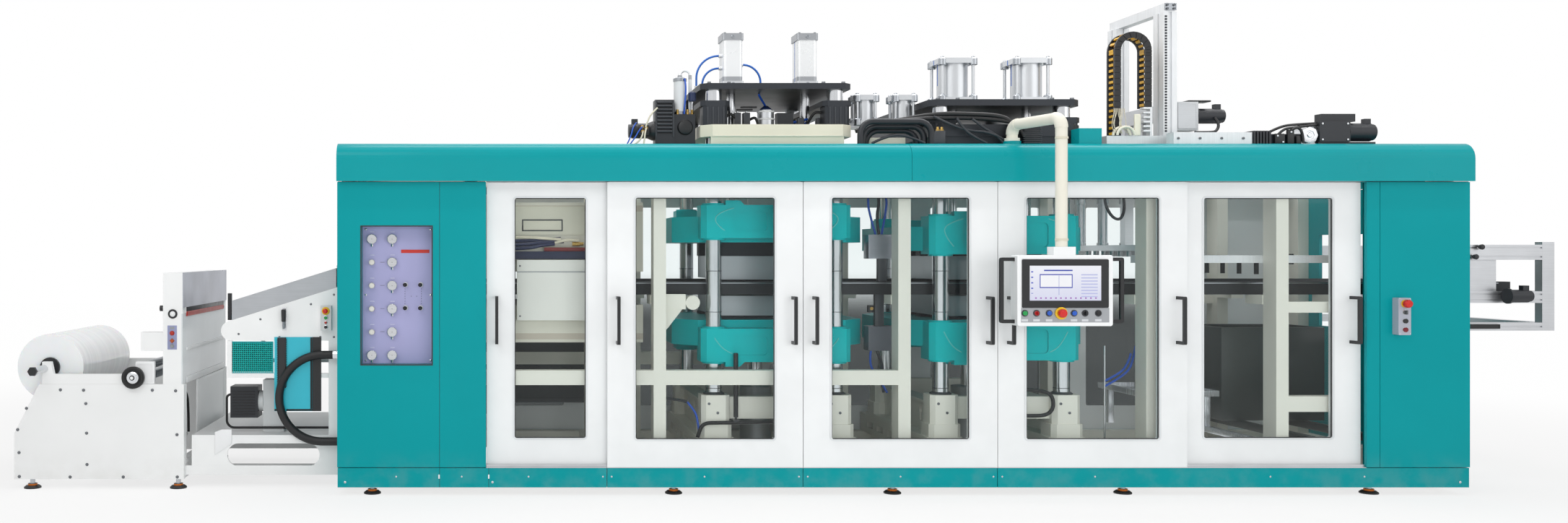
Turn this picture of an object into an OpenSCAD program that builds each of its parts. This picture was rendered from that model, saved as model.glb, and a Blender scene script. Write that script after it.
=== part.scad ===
/* [Cabinet] */
// Width of the left column, up to door 1
left_bay = 950; // [780:10:1200]
// Width of door 1
door_1_w = 770; // [640:10:930]
// Width of door 2
door_2_w = 1250; // [1050:10:1500]
// Width of door 3
door_3_w = 1240; // [1050:10:1500]
// Width of door 4
door_4_w = 1210; // [1010:10:1460]
// Width of door 5
door_5_w = 1140; // [950:10:1370]
// Width of the right column, after door 5
right_bay = 660; // [550:10:800]
// Depth of the cabinet from the door plane to the rear
cabinet_d = 1800; // [1500:10:2160]
// Height of the door opening
door_h = 1817; // [1520:1:2180]
// Height of the plinth above the floor
plinth_h = 175; // [146:1:210]
// Height of the levelling feet
foot_h = 50; // [42:1:60]
// Height of the roof cover
roof_h = 245; // [204:1:294]
// Distance that the roof cover stands out in front of the doors
roof_overhang = 45; // [30:1:60]
// Radius of the roof cover's rounded edge
roof_r = 100; // [60:1:120]
// Thickness of the folded panels
panel_t = 25; // [20:1:30]
// Width of the frame posts along the line
post_w = 80; // [67:1:96]
// Depth of the frame posts across the line
post_d = 140; // [130:1:142]

/* [Doors] */
// Thickness of a door leaf
leaf_t = 40; // [34:1:48]
// Free space between the two door tracks
track_gap = 12; // [8:1:15]
// Overlap of an inner door behind its outer neighbour
door_lap = 50; // [30:1:60]
// Width of the leaf beside its window
stile_w = 180; // [150:1:200]
// Height of the leaf below its window
bottom_rail = 179; // [150:1:215]
// Height of the leaf above its window
top_rail = 99; // [82:1:119]
// Corner radius of the windows
window_r = 15; // [10:1:20]
// Thickness of the window panes
pane_t = 6; // [4:1:8]
// Height of a door handle
handle_h = 304; // [250:1:365]
// Reach of a door handle in front of its leaf
handle_reach = 100; // [60:1:120]
// Section of the handle bar
handle_bar = 20; // [16:1:24]
// Distance of the handle bar from the edge of the leaf
handle_inset = 65; // [55:1:80]

/* [Stations] */
// Length of the line between the left cabinet edge and the middle of station 1
station_1_x = 2850; // [2800:10:2900]
// Distance between the two stations
station_pitch = 1500; // [1460:10:1560]
// Distance between the pillars along the line
pillar_pitch_x = 800; // [700:10:840]
// Distance between the pillars across the line
pillar_pitch_y = 1200; // [1000:10:1240]
// Diameter of a pillar
pillar_d = 105; // [88:1:126]
// Overhang of the platen beams past the pillar axes
platen_over = 92; // [90:1:105]
// Overhang of the platens' wide middle past their beams
wing_over = 150; // [120:1:160]
// Height of the web above the floor
web_z = 1311; // [1290:1:1330]
// Height of a chain rail
rail_h = 86; // [76:1:96]
// Width of a chain rail
rail_w = 66; // [55:1:79]
// Distance between the chain rails' middles
rail_pitch_y = 980; // [950:10:1000]
// Radial clearance of pillars, rods and pins in their bores
run_clear = 0.08; // [0.05:0.01:0.1]
// Diameter of a piston rod
rod_d = 60; // [50:1:72]

/* [Operator panel] */
// Width of the panel box
hmi_w = 578; // [490:1:700]
// Height of the panel box
hmi_h = 430; // [365:1:515]
// Depth of the panel box
hmi_d = 100; // [84:1:120]
// Height of the panel's middle
hmi_z = 1318; // [1280:1:1340]
// Diameter of the arm's tube
arm_d = 70; // [58:1:84]
// Diameter of the push buttons' bores
button_d = 22; // [18:1:26]

/* [Unwinder] */
// Length of the unwinder
unwinder_l = 1115; // [1100:1:1340]
// Width of the unwinder over its side plates
unwinder_w = 1300; // [1250:1:1500]
// Diameter of the film roll
roll_d = 440; // [370:1:460]
// Length of the film roll
roll_l = 1050; // [880:1:1100]
// Height of the mandrel
mandrel_z = 785; // [775:1:800]
// Diameter of the mandrel
mandrel_d = 50; // [42:1:60]
// Distance from the unwinder to the cabinet
infeed_gap = 1040; // [1000:5:1250]

/* [Stacker and outfeed] */
// Height of the stacker tower
tower_h = 3200; // [2700:10:3800]
// Distance from the left cabinet edge to the tower
tower_x = 5470; // [5450:5:5490]
// Length of the outfeed frame past the cabinet
outfeed_l = 790; // [690:5:950]

/* [Hidden] */
$fn = 48;

// seat: gap between bolted members, slack: gap of a sliding fit, seam: gap between neighbouring panels
seat = 0.2;
slack = 0.5;
seam = 4;

// Door edges along the line, from the left cabinet edge
door_w = [door_1_w, door_2_w, door_3_w, door_4_w, door_5_w];
function sum_to(list, n) = n == 0 ? 0 : list[n - 1] + sum_to(list, n - 1);
door_x = [for (i = [0:5]) left_bay + sum_to(door_w, i)];
cabinet_l = door_x[5] + right_bay;
door_z = plinth_h + 5;
track_d = 2 * leaf_t + track_gap;
door_top = door_z + door_h;
roof_z = door_top + seam;
roof_top = roof_z + roof_h;
roof_t = 20;
axis_y = cabinet_d / 2;

// Posts and longitudinal beams of the frame
post_y = track_d + 13;
post_x = [left_bay - 100, station_1_x - 780, station_1_x + 800, station_1_x + station_pitch + 900,
    door_x[5] - 470, door_x[5] - 20];
heater_x = [left_bay - 640, post_x[1] - 80];
hanger_x = [post_x[0], heater_x[1] - 290];
end_x = [panel_t + seat + post_w / 2, cabinet_l - panel_t - seat - post_w / 2];
beam_h = 175;
beam_d = post_d - 25;
beam_z = roof_top - roof_t - seat - beam_h;

// Stations
station_x = [station_1_x, station_1_x + station_pitch];
foot_z = plinth_h + 137;
foot_top = foot_z + 303;
// Heights of the platens' front and rear beams, and of their wide middle, at rest
lower_beam_z = [[831, 1049], [842, 1090]];
lower_wing_z = [[928, 1099], [926, 1096]];
upper_beam_z = [[1642, 1860], [1537, 1789]];
upper_wing_z = [[1616, 1788], [1560, 1720]];
head_h = 138;
beam_y = 185;
top_plate_z = [roof_top + 374, roof_top + 264];
top_plate_t = [38, 42];
cylinder_h = [360, 296];
platen_d = pillar_pitch_y + pillar_d + 55;

// Operator panel on its arm
hmi_y = -350;
arm_base = [door_x[3] + 138, 115];
arm_reach = 478;
hmi_x = arm_base[0] + sqrt(pow(arm_reach, 2) - pow(arm_base[1] - hmi_y, 2));
arm_angle = atan2(hmi_y - arm_base[1], hmi_x - arm_base[0]);
arm_z = roof_top + 125;
hmi_top = hmi_z + hmi_h / 2;
hmi_front = hmi_y - hmi_d / 2;
collar_h = 50;
control_z = hmi_z - 137;
cap_gap = 5;

// Unwinder and infeed, measured back from the left cabinet edge
unwinder_x = -infeed_gap - unwinder_l;
side_y = [axis_y - unwinder_w / 2, axis_y + unwinder_w / 2];
side_t = 40;
unwinder_z = foot_h + 10;
mandrel_x = unwinder_x + 195;
wheel_x = unwinder_x + 789;
wheel_z = 729;

outfeed_x = cabinet_l + outfeed_l;

// The origin is on the floor under the middle of the machine's outline
low_x = min(unwinder_x, mandrel_x - roll_d / 2);
high_x = outfeed_x;
stop_reach = 44;
low_y = hmi_front - stop_reach;
high_y = cabinet_d + roof_overhang;

module placed() translate([-(low_x + high_x) / 2, -(low_y + high_y) / 2, 0]) children();

// A block between two bounds along each axis
module block(x, y, z)
    translate([x[0], y[0], z[0]]) cube([x[1] - x[0], y[1] - y[0], z[1] - z[0]]);

// A copy in front and one mirrored to the rear of the line's middle plane
module both_sides() {
    children();
    translate([0, cabinet_d, 0]) mirror([0, 1, 0]) children();
}

function arc(cx, cy, r, from, to, n = 5) =
    [for (i = [0:n]) let (a = from + (to - from) * i / n) [cx + r * cos(a), cy + r * sin(a)]];

// Outline of a rectangle with round corners
function round_box(x, y, r) = concat(
    arc(x[1] - r, y[0] + r, r, -90, 0), arc(x[1] - r, y[1] - r, r, 0, 90),
    arc(x[0] + r, y[1] - r, r, 90, 180), arc(x[0] + r, y[0] + r, r, 180, 270));

// An outline in X and Z, given depth along Y
module upright(y, points)
    translate([0, y[1], 0]) rotate([90, 0, 0]) linear_extrude(y[1] - y[0]) polygon(points);

// An outline in Y and Z, given length along X
module lengthwise(x, points)
    translate([x[0], 0, 0]) rotate([90, 0, 90]) linear_extrude(x[1] - x[0]) polygon(points);

module rod_y(x, y, z, d) translate([x, y[1], z]) rotate([90, 0, 0]) cylinder(d = d, h = y[1] - y[0]);
module rod_x(x, y, z, d) translate([x[0], y, z]) rotate([0, 90, 0]) cylinder(d = d, h = x[1] - x[0]);
module rod_z(x, y, z, d) translate([x, y, z[0]]) cylinder(d = d, h = z[1] - z[0]);

// A bend of a hose in the X-Z plane, round a centre, from one angle over a span
module bend(x, y, z, r, from, span, d) translate([x, y, z]) rotate([90, 0, 0]) rotate([0, 0, from])
    rotate_extrude(angle = span) translate([r, 0]) circle(d = d);

// ---- Cabinet ----

module base_frame() color("#e6e4db") placed() {
    long_y = [30, 130];
    both_sides() block([20, cabinet_l - 20], long_y, [foot_h, plinth_h]);
    cross = [long_y[1] + seat, cabinet_d - long_y[1] - seat];
    under_pillars = [for (sx = station_x, side = [-1, 1]) sx + side * pillar_pitch_x / 2];
    for (x = concat([70, cabinet_l - 70, hanger_x[1]], post_x, under_pillars))
        block([x - 50, x + 50], cross, [foot_h, plinth_h]);
    // Slotted cross beams carry the pillar feet
    for (sx = station_x, side = [-1, 1]) let (x = sx + side * pillar_pitch_x / 2) difference() {
        block([x - 110, x + 110], [track_d + 8, cabinet_d - 40], [plinth_h + seat, foot_z]);
        for (i = [0:5]) let (y = 300 + i * (cabinet_d - 600) / 5)
            block([x - 111, x + 111], [y - 70, y + 70], [plinth_h + 45, foot_z - 45]);
    }
}

module skirt_panels() color("#009da3") placed() {
    edges = [0, door_x[1], door_x[2], door_x[3], cabinet_l];
    both_sides() for (i = [0:3])
        block([edges[i] + seam / 2, edges[i + 1] - seam / 2], [5, 30 - seat], [foot_h + 1, plinth_h]);
    for (x = [[2, 20 - seat], [cabinet_l - 20 + seat, cabinet_l - 2]])
        block(x, [30, cabinet_d - 30], [foot_h + 1, plinth_h]);
}

module foot(x, y, h) translate([x, y, 0]) rotate_extrude()
    polygon([[0, 0], [55, 0], [55, 8], [42, 18], [30, 18], [30, 30], [16, 30], [16, h - seat],
        [0, h - seat]]);

module levelling_feet() color("#2b2b2b") placed() {
    for (x = [217, station_1_x - 695, station_1_x + 713, station_1_x + 2196, cabinet_l - 590])
        both_sides() foot(x, 80, foot_h);
    for (x = [unwinder_x + 115, -infeed_gap - 40])
        both_sides() foot(x, side_y[0] + side_t / 2, unwinder_z);
}

module guard_posts() color("#e6e4db") placed() {
    front = [post_y, post_y + post_d];
    xs = concat([end_x[0]], post_x, [end_x[1]]);
    half = post_w / 2;
    post_z = [plinth_h + seat, beam_z - seat];
    both_sides() {
        for (x = xs) block([x - half, x + half], front, post_z);
        block([xs[0] - half, xs[7] + half], [front[0], front[0] + beam_d], [beam_z, beam_z + beam_h]);
        // Longitudinal beams behind doors 1 and 2, and behind doors 4 and 5
        for (i = [1, 2]) block([xs[i] + half + seat, xs[i + 1] - half - seat], [front[0], 185], [693, 787]);
        for (z = [[520, 620], [1160, 1230]])
            block([xs[5] + half + seat, xs[6] - half - seat], [front[0], 185], z);
        // Brackets that carry the chain rails
        for (i = [1:6]) block([xs[i] - 45, xs[i] + 45], [front[1] + seat, axis_y - rail_pitch_y / 2 + 25],
            [web_z - rail_h / 2 - 60, web_z - rail_h / 2 - seat]);
    }
    // Bracket on the post before station 1, with its gusset and a small motor
    arm_y = [192, 244];
    block([post_x[1] + half + seat, post_x[1] + half + 140], arm_y, [web_z - 133, web_z - 35]);
    arm_x0 = post_x[1] + half + seat;
    upright([arm_y[0] + 16, arm_y[1] - 16], [[arm_x0, web_z - 133 - seat], [arm_x0, web_z - 263],
        [arm_x0 + 20, web_z - 263], [arm_x0 + 120, web_z - 133 - seat]]);
    arm_motor_d = 93;
    rod_y(post_x[1] + half + 140 + seat + arm_motor_d / 2, [arm_y[0], arm_y[1] + 56], web_z - 90, arm_motor_d);
    cross = [front[0] + beam_d + seat, cabinet_d - front[0] - beam_d - seat];
    for (x = concat(xs, [hanger_x[1]]))
        block([x - half, x + half], cross, [beam_z + beam_h - 100, beam_z + beam_h]);
}

// Recess for the pneumatic panel in the left column
recess_x = [147, 610];
recess_z = [828, 1721];
recess_d = 150;
wall = 8;
infeed_z = [900, 1460];
// Way through both end walls for the web
mouth_y = [axis_y - 535, axis_y + 535];

module left_column() color("#009da3") placed() {
    z = [door_z, door_top];
    difference() {
        union() {
            block([0, left_bay - seam / 2], [0, panel_t], z);
            block([recess_x[0] - wall, recess_x[1] + wall], [panel_t - 1, recess_d + wall],
                [recess_z[0] - wall, recess_z[1] + wall]);
            block([left_bay - seam / 2 - panel_t, left_bay - seam / 2], [panel_t - 1, post_y - seat], z);
        }
        block(recess_x, [-1, recess_d], recess_z);
        block([651, 654], [-1, 4], [z[0] - 1, z[1] + 1]);
    }
    difference() {
        block([0, panel_t], [panel_t + seat, cabinet_d - panel_t - seat], z);
        block([-1, panel_t + 1], mouth_y, infeed_z);
    }
}

outfeed_hole_z = [1000, 1680];

module right_column() color("#009da3") placed() {
    z = [door_z, door_top];
    strip = door_x[5] + 87;
    block([door_x[5] + seam / 2, strip - 2], [0, panel_t], z);
    block([strip + 1, cabinet_l], [0, panel_t], z);
    block([strip - 40, strip + 40], [panel_t + seat, post_y - seat], z);
    difference() {
        block([cabinet_l - panel_t, cabinet_l], [panel_t + seat, cabinet_d - panel_t - seat], z);
        block([cabinet_l - panel_t - 1, cabinet_l + 1], mouth_y, outfeed_hole_z);
    }
}

// Cover profile with a rounded front edge, seen along the line
function cover_profile(back) = concat(
    [[-roof_overhang, roof_z]],
    arc(roof_r - roof_overhang, roof_top - roof_r, roof_r, 180, 90, 8),
    [[back, roof_top], [back, roof_top - roof_t]],
    arc(roof_r - roof_overhang, roof_top - roof_r, roof_r - roof_t, 90, 180, 8),
    [[roof_t - roof_overhang, roof_z]]);

module roof_covers() color("#009da3") placed() {
    joint_x = station_1_x + 800;
    back = axis_y - pillar_pitch_y / 2 - pillar_d / 2 - 10;
    both_sides() for (x = [[0, joint_x - 1], [joint_x + 1, cabinet_l]]) lengthwise(x, cover_profile(back));
    for (x = [[0, end_x[0] - post_w / 2 - seat], [end_x[1] + post_w / 2 + seat, cabinet_l]])
        block(x, [back + seat, cabinet_d - back - seat], [roof_z, roof_top]);
    block([arm_base[0] + 409, arm_base[0] + 554], [60, 175], [roof_top + seat, roof_top + 100]);
    // Boss on the front cover that the operator arm turns on
    rod_z(arm_base[0], arm_base[1], [roof_top + seat, roof_top + 20], 110);
    rod_z(arm_base[0], arm_base[1], [roof_top + 19, roof_top + 60], arm_d - 24);
}

function window_box(x) = round_box([x[0] + stile_w, x[1] - stile_w],
    [door_z + bottom_rail, door_top - top_rail], window_r);

module rear_panels() color("#e9eaea") placed() {
    y = [cabinet_d - panel_t, cabinet_d];
    z = [plinth_h + seat, roof_z - seat];
    for (x = [[0, left_bay], [door_x[5], cabinet_l]]) block([x[0] + seam / 2, x[1] - seam / 2], y, z);
    for (i = [0:4]) let (x = [door_x[i] + seam / 2, door_x[i + 1] - seam / 2]) difference() {
        block(x, y, z);
        upright([y[0] - 1, y[1] + 1], window_box(x));
    }
}

module rear_windows() color("#cfe3e6", 0.4) placed() {
    y = cabinet_d - panel_t / 2;
    for (i = [0:4]) let (x = [door_x[i] + seam / 2, door_x[i + 1] - seam / 2])
        upright([y - pane_t / 2, y + pane_t / 2],
            round_box([x[0] + stile_w + seat, x[1] - stile_w - seat],
                [door_z + bottom_rail + seat, door_top - top_rail - seat], window_r));
}

// ---- Doors ----

// Front face and extent of a leaf: doors 1 and 5 run on the inner track behind their neighbours
function leaf_y(i) = (i == 0 || i == 4) ? leaf_t + track_gap : 0;
function leaf_x(i) = [
    door_x[i] + seam / 2 - (i == 4 ? door_lap : 0),
    door_x[i + 1] - seam / 2 + (i == 0 ? door_lap : 0)];
tongue_t = 8;
groove_d = 16;
tongue_h = 20;

module door_tracks() color("#c9ccce") placed() {
    mid = [leaf_t / 2, leaf_t * 1.5 + track_gap];
    half = tongue_t / 2 + slack;
    x = [left_bay, door_x[5]];
    // Top channel with a slot for each track, bolted under the frame's top beam
    difference() {
        lengthwise(x, [[0, roof_z], [track_d, roof_z], [track_d, roof_z + 40], [post_y + beam_d, roof_z + 40],
            [post_y + beam_d, beam_z - seat], [0, beam_z - seat]]);
        for (y = mid) block([x[0] - 1, x[1] + 1], [y - half, y + half], [roof_z - 1, roof_z + tongue_h + 5]);
        for (px = post_x)
            block([px - post_w / 2 - seat, px + post_w / 2 + seat], [post_y - seat, post_y + post_d + 1],
                [roof_z, beam_z]);
    }
    // Bottom guide with a rail for each track
    rib = tongue_t / 2 - slack;
    lengthwise(x, [[2, plinth_h + seat], [track_d, plinth_h + seat], [track_d, door_z - 1],
        [mid[1] + rib, door_z - 1], [mid[1] + rib, door_z + groove_d - slack],
        [mid[1] - rib, door_z + groove_d - slack], [mid[1] - rib, door_z - 1],
        [mid[0] + rib, door_z - 1], [mid[0] + rib, door_z + groove_d - slack],
        [mid[0] - rib, door_z + groove_d - slack], [mid[0] - rib, door_z - 1], [2, door_z - 1]]);
}

// The grip stands in front of the leaf and its two ends turn back to it
module d_handle(x, y) {
    h = handle_h / 2;
    r = 12;
    grip = handle_bar - handle_reach;
    translate([0, y, door_z + 938]) lengthwise([x - handle_bar / 2, x + handle_bar / 2], concat(
        [[-seat, -h]], arc(r - handle_reach, r - h, r, 270, 180, 4),
        arc(r - handle_reach, h - r, r, 180, 90, 4),
        [[-seat, h], [-seat, h - handle_bar], [grip, h - handle_bar], [grip, handle_bar - h],
        [-seat, handle_bar - h]]));
}

module door_leaf(i, handle_sides) {
    x = leaf_x(i);
    y = [leaf_y(i), leaf_y(i) + leaf_t];
    mid = y[0] + leaf_t / 2;
    difference() {
        union() {
            block(x, y, [door_z, door_top]);
            block([x[0] + 10, x[1] - 10], [mid - tongue_t / 2, mid + tongue_t / 2],
                [door_top - 1, roof_z + tongue_h]);
            // Rim that holds the window seal
            upright([y[0] - 4, y[0] + 1], round_box([x[0] + stile_w - 12, x[1] - stile_w + 12],
                [door_z + bottom_rail - 12, door_top - top_rail + 12], window_r + 12));
        }
        upright([y[0] - 5, y[1] + 1], window_box(x));
        block([x[0] - 1, x[1] + 1], [mid - tongue_t / 2, mid + tongue_t / 2],
            [door_z - 1, door_z + groove_d]);
    }
    for (side = handle_sides)
        d_handle(side < 0 ? x[0] + handle_inset : x[1] - handle_inset, y[0]);
}

module door_pane(i) {
    x = leaf_x(i);
    y = leaf_y(i) + 12;
    upright([y, y + pane_t], round_box([x[0] + stile_w + seat, x[1] - stile_w - seat],
        [door_z + bottom_rail + seat, door_top - top_rail - seat], window_r));
}

module door_1() color("#e9eaea") placed() door_leaf(0, [-1]);
module door_2() color("#e9eaea") placed() door_leaf(1, [-1, 1]);
module door_3() color("#e9eaea") placed() door_leaf(2, [-1, 1]);
module door_4() color("#e9eaea") placed() door_leaf(3, [-1, 1]);
module door_5() color("#e9eaea") placed() door_leaf(4, [1]);
module door_1_window() color("#cfe3e6", 0.4) placed() door_pane(0);
module door_2_window() color("#cfe3e6", 0.4) placed() door_pane(1);
module door_3_window() color("#cfe3e6", 0.4) placed() door_pane(2);
module door_4_window() color("#cfe3e6", 0.4) placed() door_pane(3);
module door_5_window() color("#cfe3e6", 0.4) placed() door_pane(4);

// ---- Pneumatic panel ----

gauge_pitch = 150;
plate_y = recess_d - 12;
function row_z(i) = recess_z[0] + 57 + i * gauge_pitch;
column_x = [recess_x[0] + 63, recess_x[0] + 194];

module gauge_panel() color("#a9a8d0") placed() {
    block([recess_x[0] + 1, recess_x[1] - 1], [plate_y, recess_d - seat], [recess_z[0] + 1, recess_z[1] - 1]);
    // Blank nameplate strip above the levers
    block([recess_x[0] + 250, recess_x[1] - 30], [plate_y - 3, plate_y - seat],
        [row_z(4) + 60, row_z(4) + 82]);
}

// A pressure gauge with a stepped case and a sunk dial, facing the front
module gauge(x, z) translate([x, plate_y - seat, z]) rotate([90, 0, 0]) rotate_extrude()
    polygon([[0, 0], [26, 0], [28, 4], [28, 22], [31.5, 24], [31.5, 34], [29, 34], [29, 30], [0, 30]]);

module pressure_gauges() color("#e8e8e8") placed() {
    for (i = [0:5]) gauge(column_x[1], row_z(i));
    for (i = [0, 5]) gauge(column_x[0], row_z(i));
}

module regulator_knobs() color("#303236") placed() for (i = [1:4])
    translate([column_x[0], plate_y - seat, row_z(i)]) rotate([90, 0, 0]) rotate_extrude()
        polygon([[0, 0], [12, 0], [12, 10], [17.5, 10], [17.5, 38], [15, 41], [0, 41]]);

module valve_levers() color("#1c1c1e") placed() for (x = [279, 377], i = [2, 3]) {
    translate([recess_x[0] + x, plate_y - seat, row_z(i) + 5]) rotate([90, 0, 0]) rotate_extrude()
        polygon([[0, 0], [16, 0], [16, 8], [6, 10], [5, 38], [9, 42], [13, 50], [13, 58], [8, 65], [0, 66]]);
}

// ---- Operator panel ----

// Control offsets from the panel's middle
controls = [-245, -174, -98, -27, 53, 120, 200];

arm_turn = 60;
module arm_elbow(x, from) translate([x, 0, 0]) rotate([90, 0, 0]) rotate([0, 0, from])
    rotate_extrude(angle = 90) translate([arm_turn, 0]) circle(d = arm_d + 6);

module hmi_arm() color("#e8e4d0") placed() {
    riser_top = arm_z - arm_turn + 5;
    // Foot that turns on the boss, and its riser
    translate([arm_base[0], arm_base[1], 0]) difference() {
        union() {
            rod_z(0, 0, [roof_top + 20 + 0.3, roof_top + 40], 96);
            rod_z(0, 0, [roof_top + 39, riser_top], arm_d);
        }
        rod_z(0, 0, [roof_top, roof_top + 60.5], arm_d - 24 + 2 * run_clear);
    }
    translate([arm_base[0], arm_base[1], arm_z - arm_turn]) rotate([0, 0, arm_angle]) {
        arm_elbow(arm_turn, 90);
        rod_x([arm_turn - 5, arm_reach - arm_turn + 5], 0, arm_turn, arm_d);
        arm_elbow(arm_reach - arm_turn, 0);
    }
    // Drop tube with the spigot that the panel turns on
    translate([hmi_x, hmi_y, 0]) {
        rod_z(0, 0, [hmi_top + collar_h + 0.3, riser_top], arm_d);
        rod_z(0, 0, [hmi_top + 12, hmi_top + collar_h + 1], arm_d - 20);
    }
}

module hmi_panel() color("#e9eaea") placed() translate([hmi_x, 0, 0]) {
    y = [hmi_front, hmi_front + hmi_d];
    difference() {
        union() {
            upright(y, round_box([-hmi_w / 2, hmi_w / 2], [hmi_top - hmi_h, hmi_top], 14));
            block([-67, 67], [hmi_y - 45, hmi_y + 45], [hmi_top - 1, hmi_top + collar_h]);
        }
        rod_z(0, hmi_y, [hmi_top + 11, hmi_top + collar_h + 1], arm_d - 20 + 2 * run_clear);
        // Shallow pocket for the screen module
        block([-hmi_w * 0.455, hmi_w * 0.455], [y[0] - 1, y[0] + 8], [hmi_z - 105, hmi_z + 190]);
        for (x = controls) rod_y(x, [y[0] - 1, y[0] + 41], control_z, button_d + 2 * run_clear);
    }
    // Bezel with the screen sunk in it
    difference() {
        upright([y[0] - 6, y[0] + 8 - seat],
            round_box([-hmi_w * 0.455 + 1, hmi_w * 0.455 - 1], [hmi_z - 104, hmi_z + 189], 8));
        block([-hmi_w * 0.375, hmi_w * 0.375], [y[0] - 7, y[0] - 3], [hmi_z - 62, hmi_z + 152]);
    }
    // Side handles
    for (side = [0, 1]) mirror([side, 0, 0]) translate([hmi_w / 2 + seat, 0, hmi_z])
        upright([hmi_y - 11, hmi_y + 11], concat([[0, -200]], arc(88 - 14, 14 - 200, 14, -90, 0, 4),
            arc(88 - 14, 186, 14, 0, 90, 4),
            [[0, 200], [0, 178], [66, 178], [66, -178], [0, -178]]));
}

// A control pointing to the front: a stem in its bore and a cap outside, from a half profile
module control(i, cap) translate([hmi_x + controls[i], hmi_front, control_z]) rotate([90, 0, 0])
    rotate_extrude() polygon(concat([[0, -30], [button_d / 2, -30], [button_d / 2, cap_gap]], cap));

function flat_cap(r, h) = [[r, cap_gap], [r, cap_gap + h - 2], [r - 2, cap_gap + h], [0, cap_gap + h]];
mushroom = [[20, cap_gap + 8], [26, cap_gap + 14], [26, cap_gap + 30], [21, stop_reach], [0, stop_reach]];

module hmi_green_button() color("#2e9b4f") placed() control(0, flat_cap(14, 9));
module hmi_left_blue_button() color("#3b6fd0") placed() control(2, flat_cap(14, 9));
module hmi_right_blue_button() color("#3b6fd0") placed() control(4, flat_cap(14, 9));
module hmi_black_button() color("#222222") placed() control(6, flat_cap(14, 9));
module hmi_stop_button() color("#c4332b") placed() control(3, mushroom);

module hmi_selector() color("#222222") placed() {
    control(5, flat_cap(14, 6));
    translate([hmi_x + controls[5], hmi_front - cap_gap - 5.5, control_z])
        block([-4, 4], [-14, 0], [-13, 13]);
}

module hmi_key_switch() color("#b22a2a") placed() {
    control(1, flat_cap(14, 6));
    translate([hmi_x + controls[1], hmi_front - cap_gap - 5.5, control_z])
        block([-1.5, 1.5], [-24, 0], [-10, 10]);
}

// ---- Side control station ----

station_w = 79;
side_x = [door_x[5] + 165, door_x[5] + 165 + station_w];
side_z = [1026, 1261];
side_d = 55;
function side_row(i) = side_z[1] - 36 - i * 55;

module side_station() color("#d8b32a") placed() {
    mid = (side_x[0] + side_x[1]) / 2;
    difference() {
        upright([-side_d, -seat], round_box(side_x, side_z, 6));
        for (i = [0, 1]) rod_y(mid, [-side_d - 1, -15], side_row(i), button_d + 2 * run_clear);
    }
    for (i = [2, 3]) rod_y(mid, [-side_d - 12, -side_d - seat], side_row(i), 30);
}

module side_control(i, cap) translate([(side_x[0] + side_x[1]) / 2, -side_d, side_row(i)])
    rotate([90, 0, 0]) rotate_extrude()
        polygon(concat([[0, -30], [button_d / 2, -30], [button_d / 2, cap_gap]], cap));

module side_stop_button() color("#c4332b") placed() side_control(0, mushroom);

module side_selector() color("#6b6e70") placed() {
    side_control(1, flat_cap(14, 6));
    translate([(side_x[0] + side_x[1]) / 2, -side_d - cap_gap - 5.5, side_row(1)])
        block([-4, 4], [-14, 0], [-13, 13]);
}

// ---- Stations ----

module at_pillars(s) for (dx = [-1, 1], dy = [-1, 1])
    translate([station_x[s] + dx * pillar_pitch_x / 2, axis_y + dy * pillar_pitch_y / 2, 0]) children();

// A plan outline with cut corners
function cut_box(x, y, c) = [[x[0] + c, y[0]], [x[1] - c, y[0]], [x[1], y[0] + c], [x[1], y[1] - c],
    [x[1] - c, y[1]], [x[0] + c, y[1]], [x[0], y[1] - c], [x[0], y[0] + c]];

module slab(points, z) translate([0, 0, z[0]]) linear_extrude(z[1] - z[0]) polygon(points);

// Cast foot beams: a box foot under each pillar, joined through the depth by a slotted web on a flange
module pillar_feet() color("#e6e4db") placed() for (s = [0, 1]) {
    reach = pillar_pitch_y / 2;
    for (side = [-1, 1]) let (x = station_x[s] + side * pillar_pitch_x / 2) difference() {
        union() {
            slab(cut_box([x - 118, x + 118], [axis_y - reach - 108, axis_y + reach + 108], 30),
                [foot_z + seat, foot_z + 28]);
            block([x - 30, x + 30], [axis_y - reach, axis_y + reach], [foot_z + 27, foot_top - 60]);
            block([x - 62, x + 62], [axis_y - reach, axis_y + reach], [foot_top - 76, foot_top - 59]);
            both_sides() for (step = [[104, foot_z + 113], [92, foot_top]]) let (r = step[0])
                slab(cut_box([x - r, x + r], [axis_y - reach - r, axis_y - reach + r], 28),
                    [foot_z + 27, step[1]]);
        }
        for (i = [-1, 0, 1]) {
            rod_x([x - 31, x + 31], axis_y + i * 300, foot_z + 165, 60);
            block([x - 31, x + 31], [axis_y + i * 300 - 16, axis_y + i * 300 + 16],
                [foot_z + 90, foot_z + 165]);
        }
    }
    // Tie beams between the feet, front and rear
    inner = pillar_pitch_x / 2 - 92 - seat;
    both_sides() block([station_x[s] - inner, station_x[s] + inner],
        [axis_y - reach - 30, axis_y - reach + 30], [foot_top - 160, foot_top - 15]);
}

module pillars() color("#cfd2d4") placed() for (s = [0, 1]) at_pillars(s) {
    rod_z(0, 0, [foot_top + seat, top_plate_z[s] - seat], pillar_d);
}

// Piston rod positions of a station, along and across the line
rod_x_off = 250;
rod_y_off = 400;
module at_rods(s) for (dx = [-1, 1])
    translate([station_x[s] + dx * rod_x_off, axis_y - rod_y_off, 0]) children();

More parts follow.
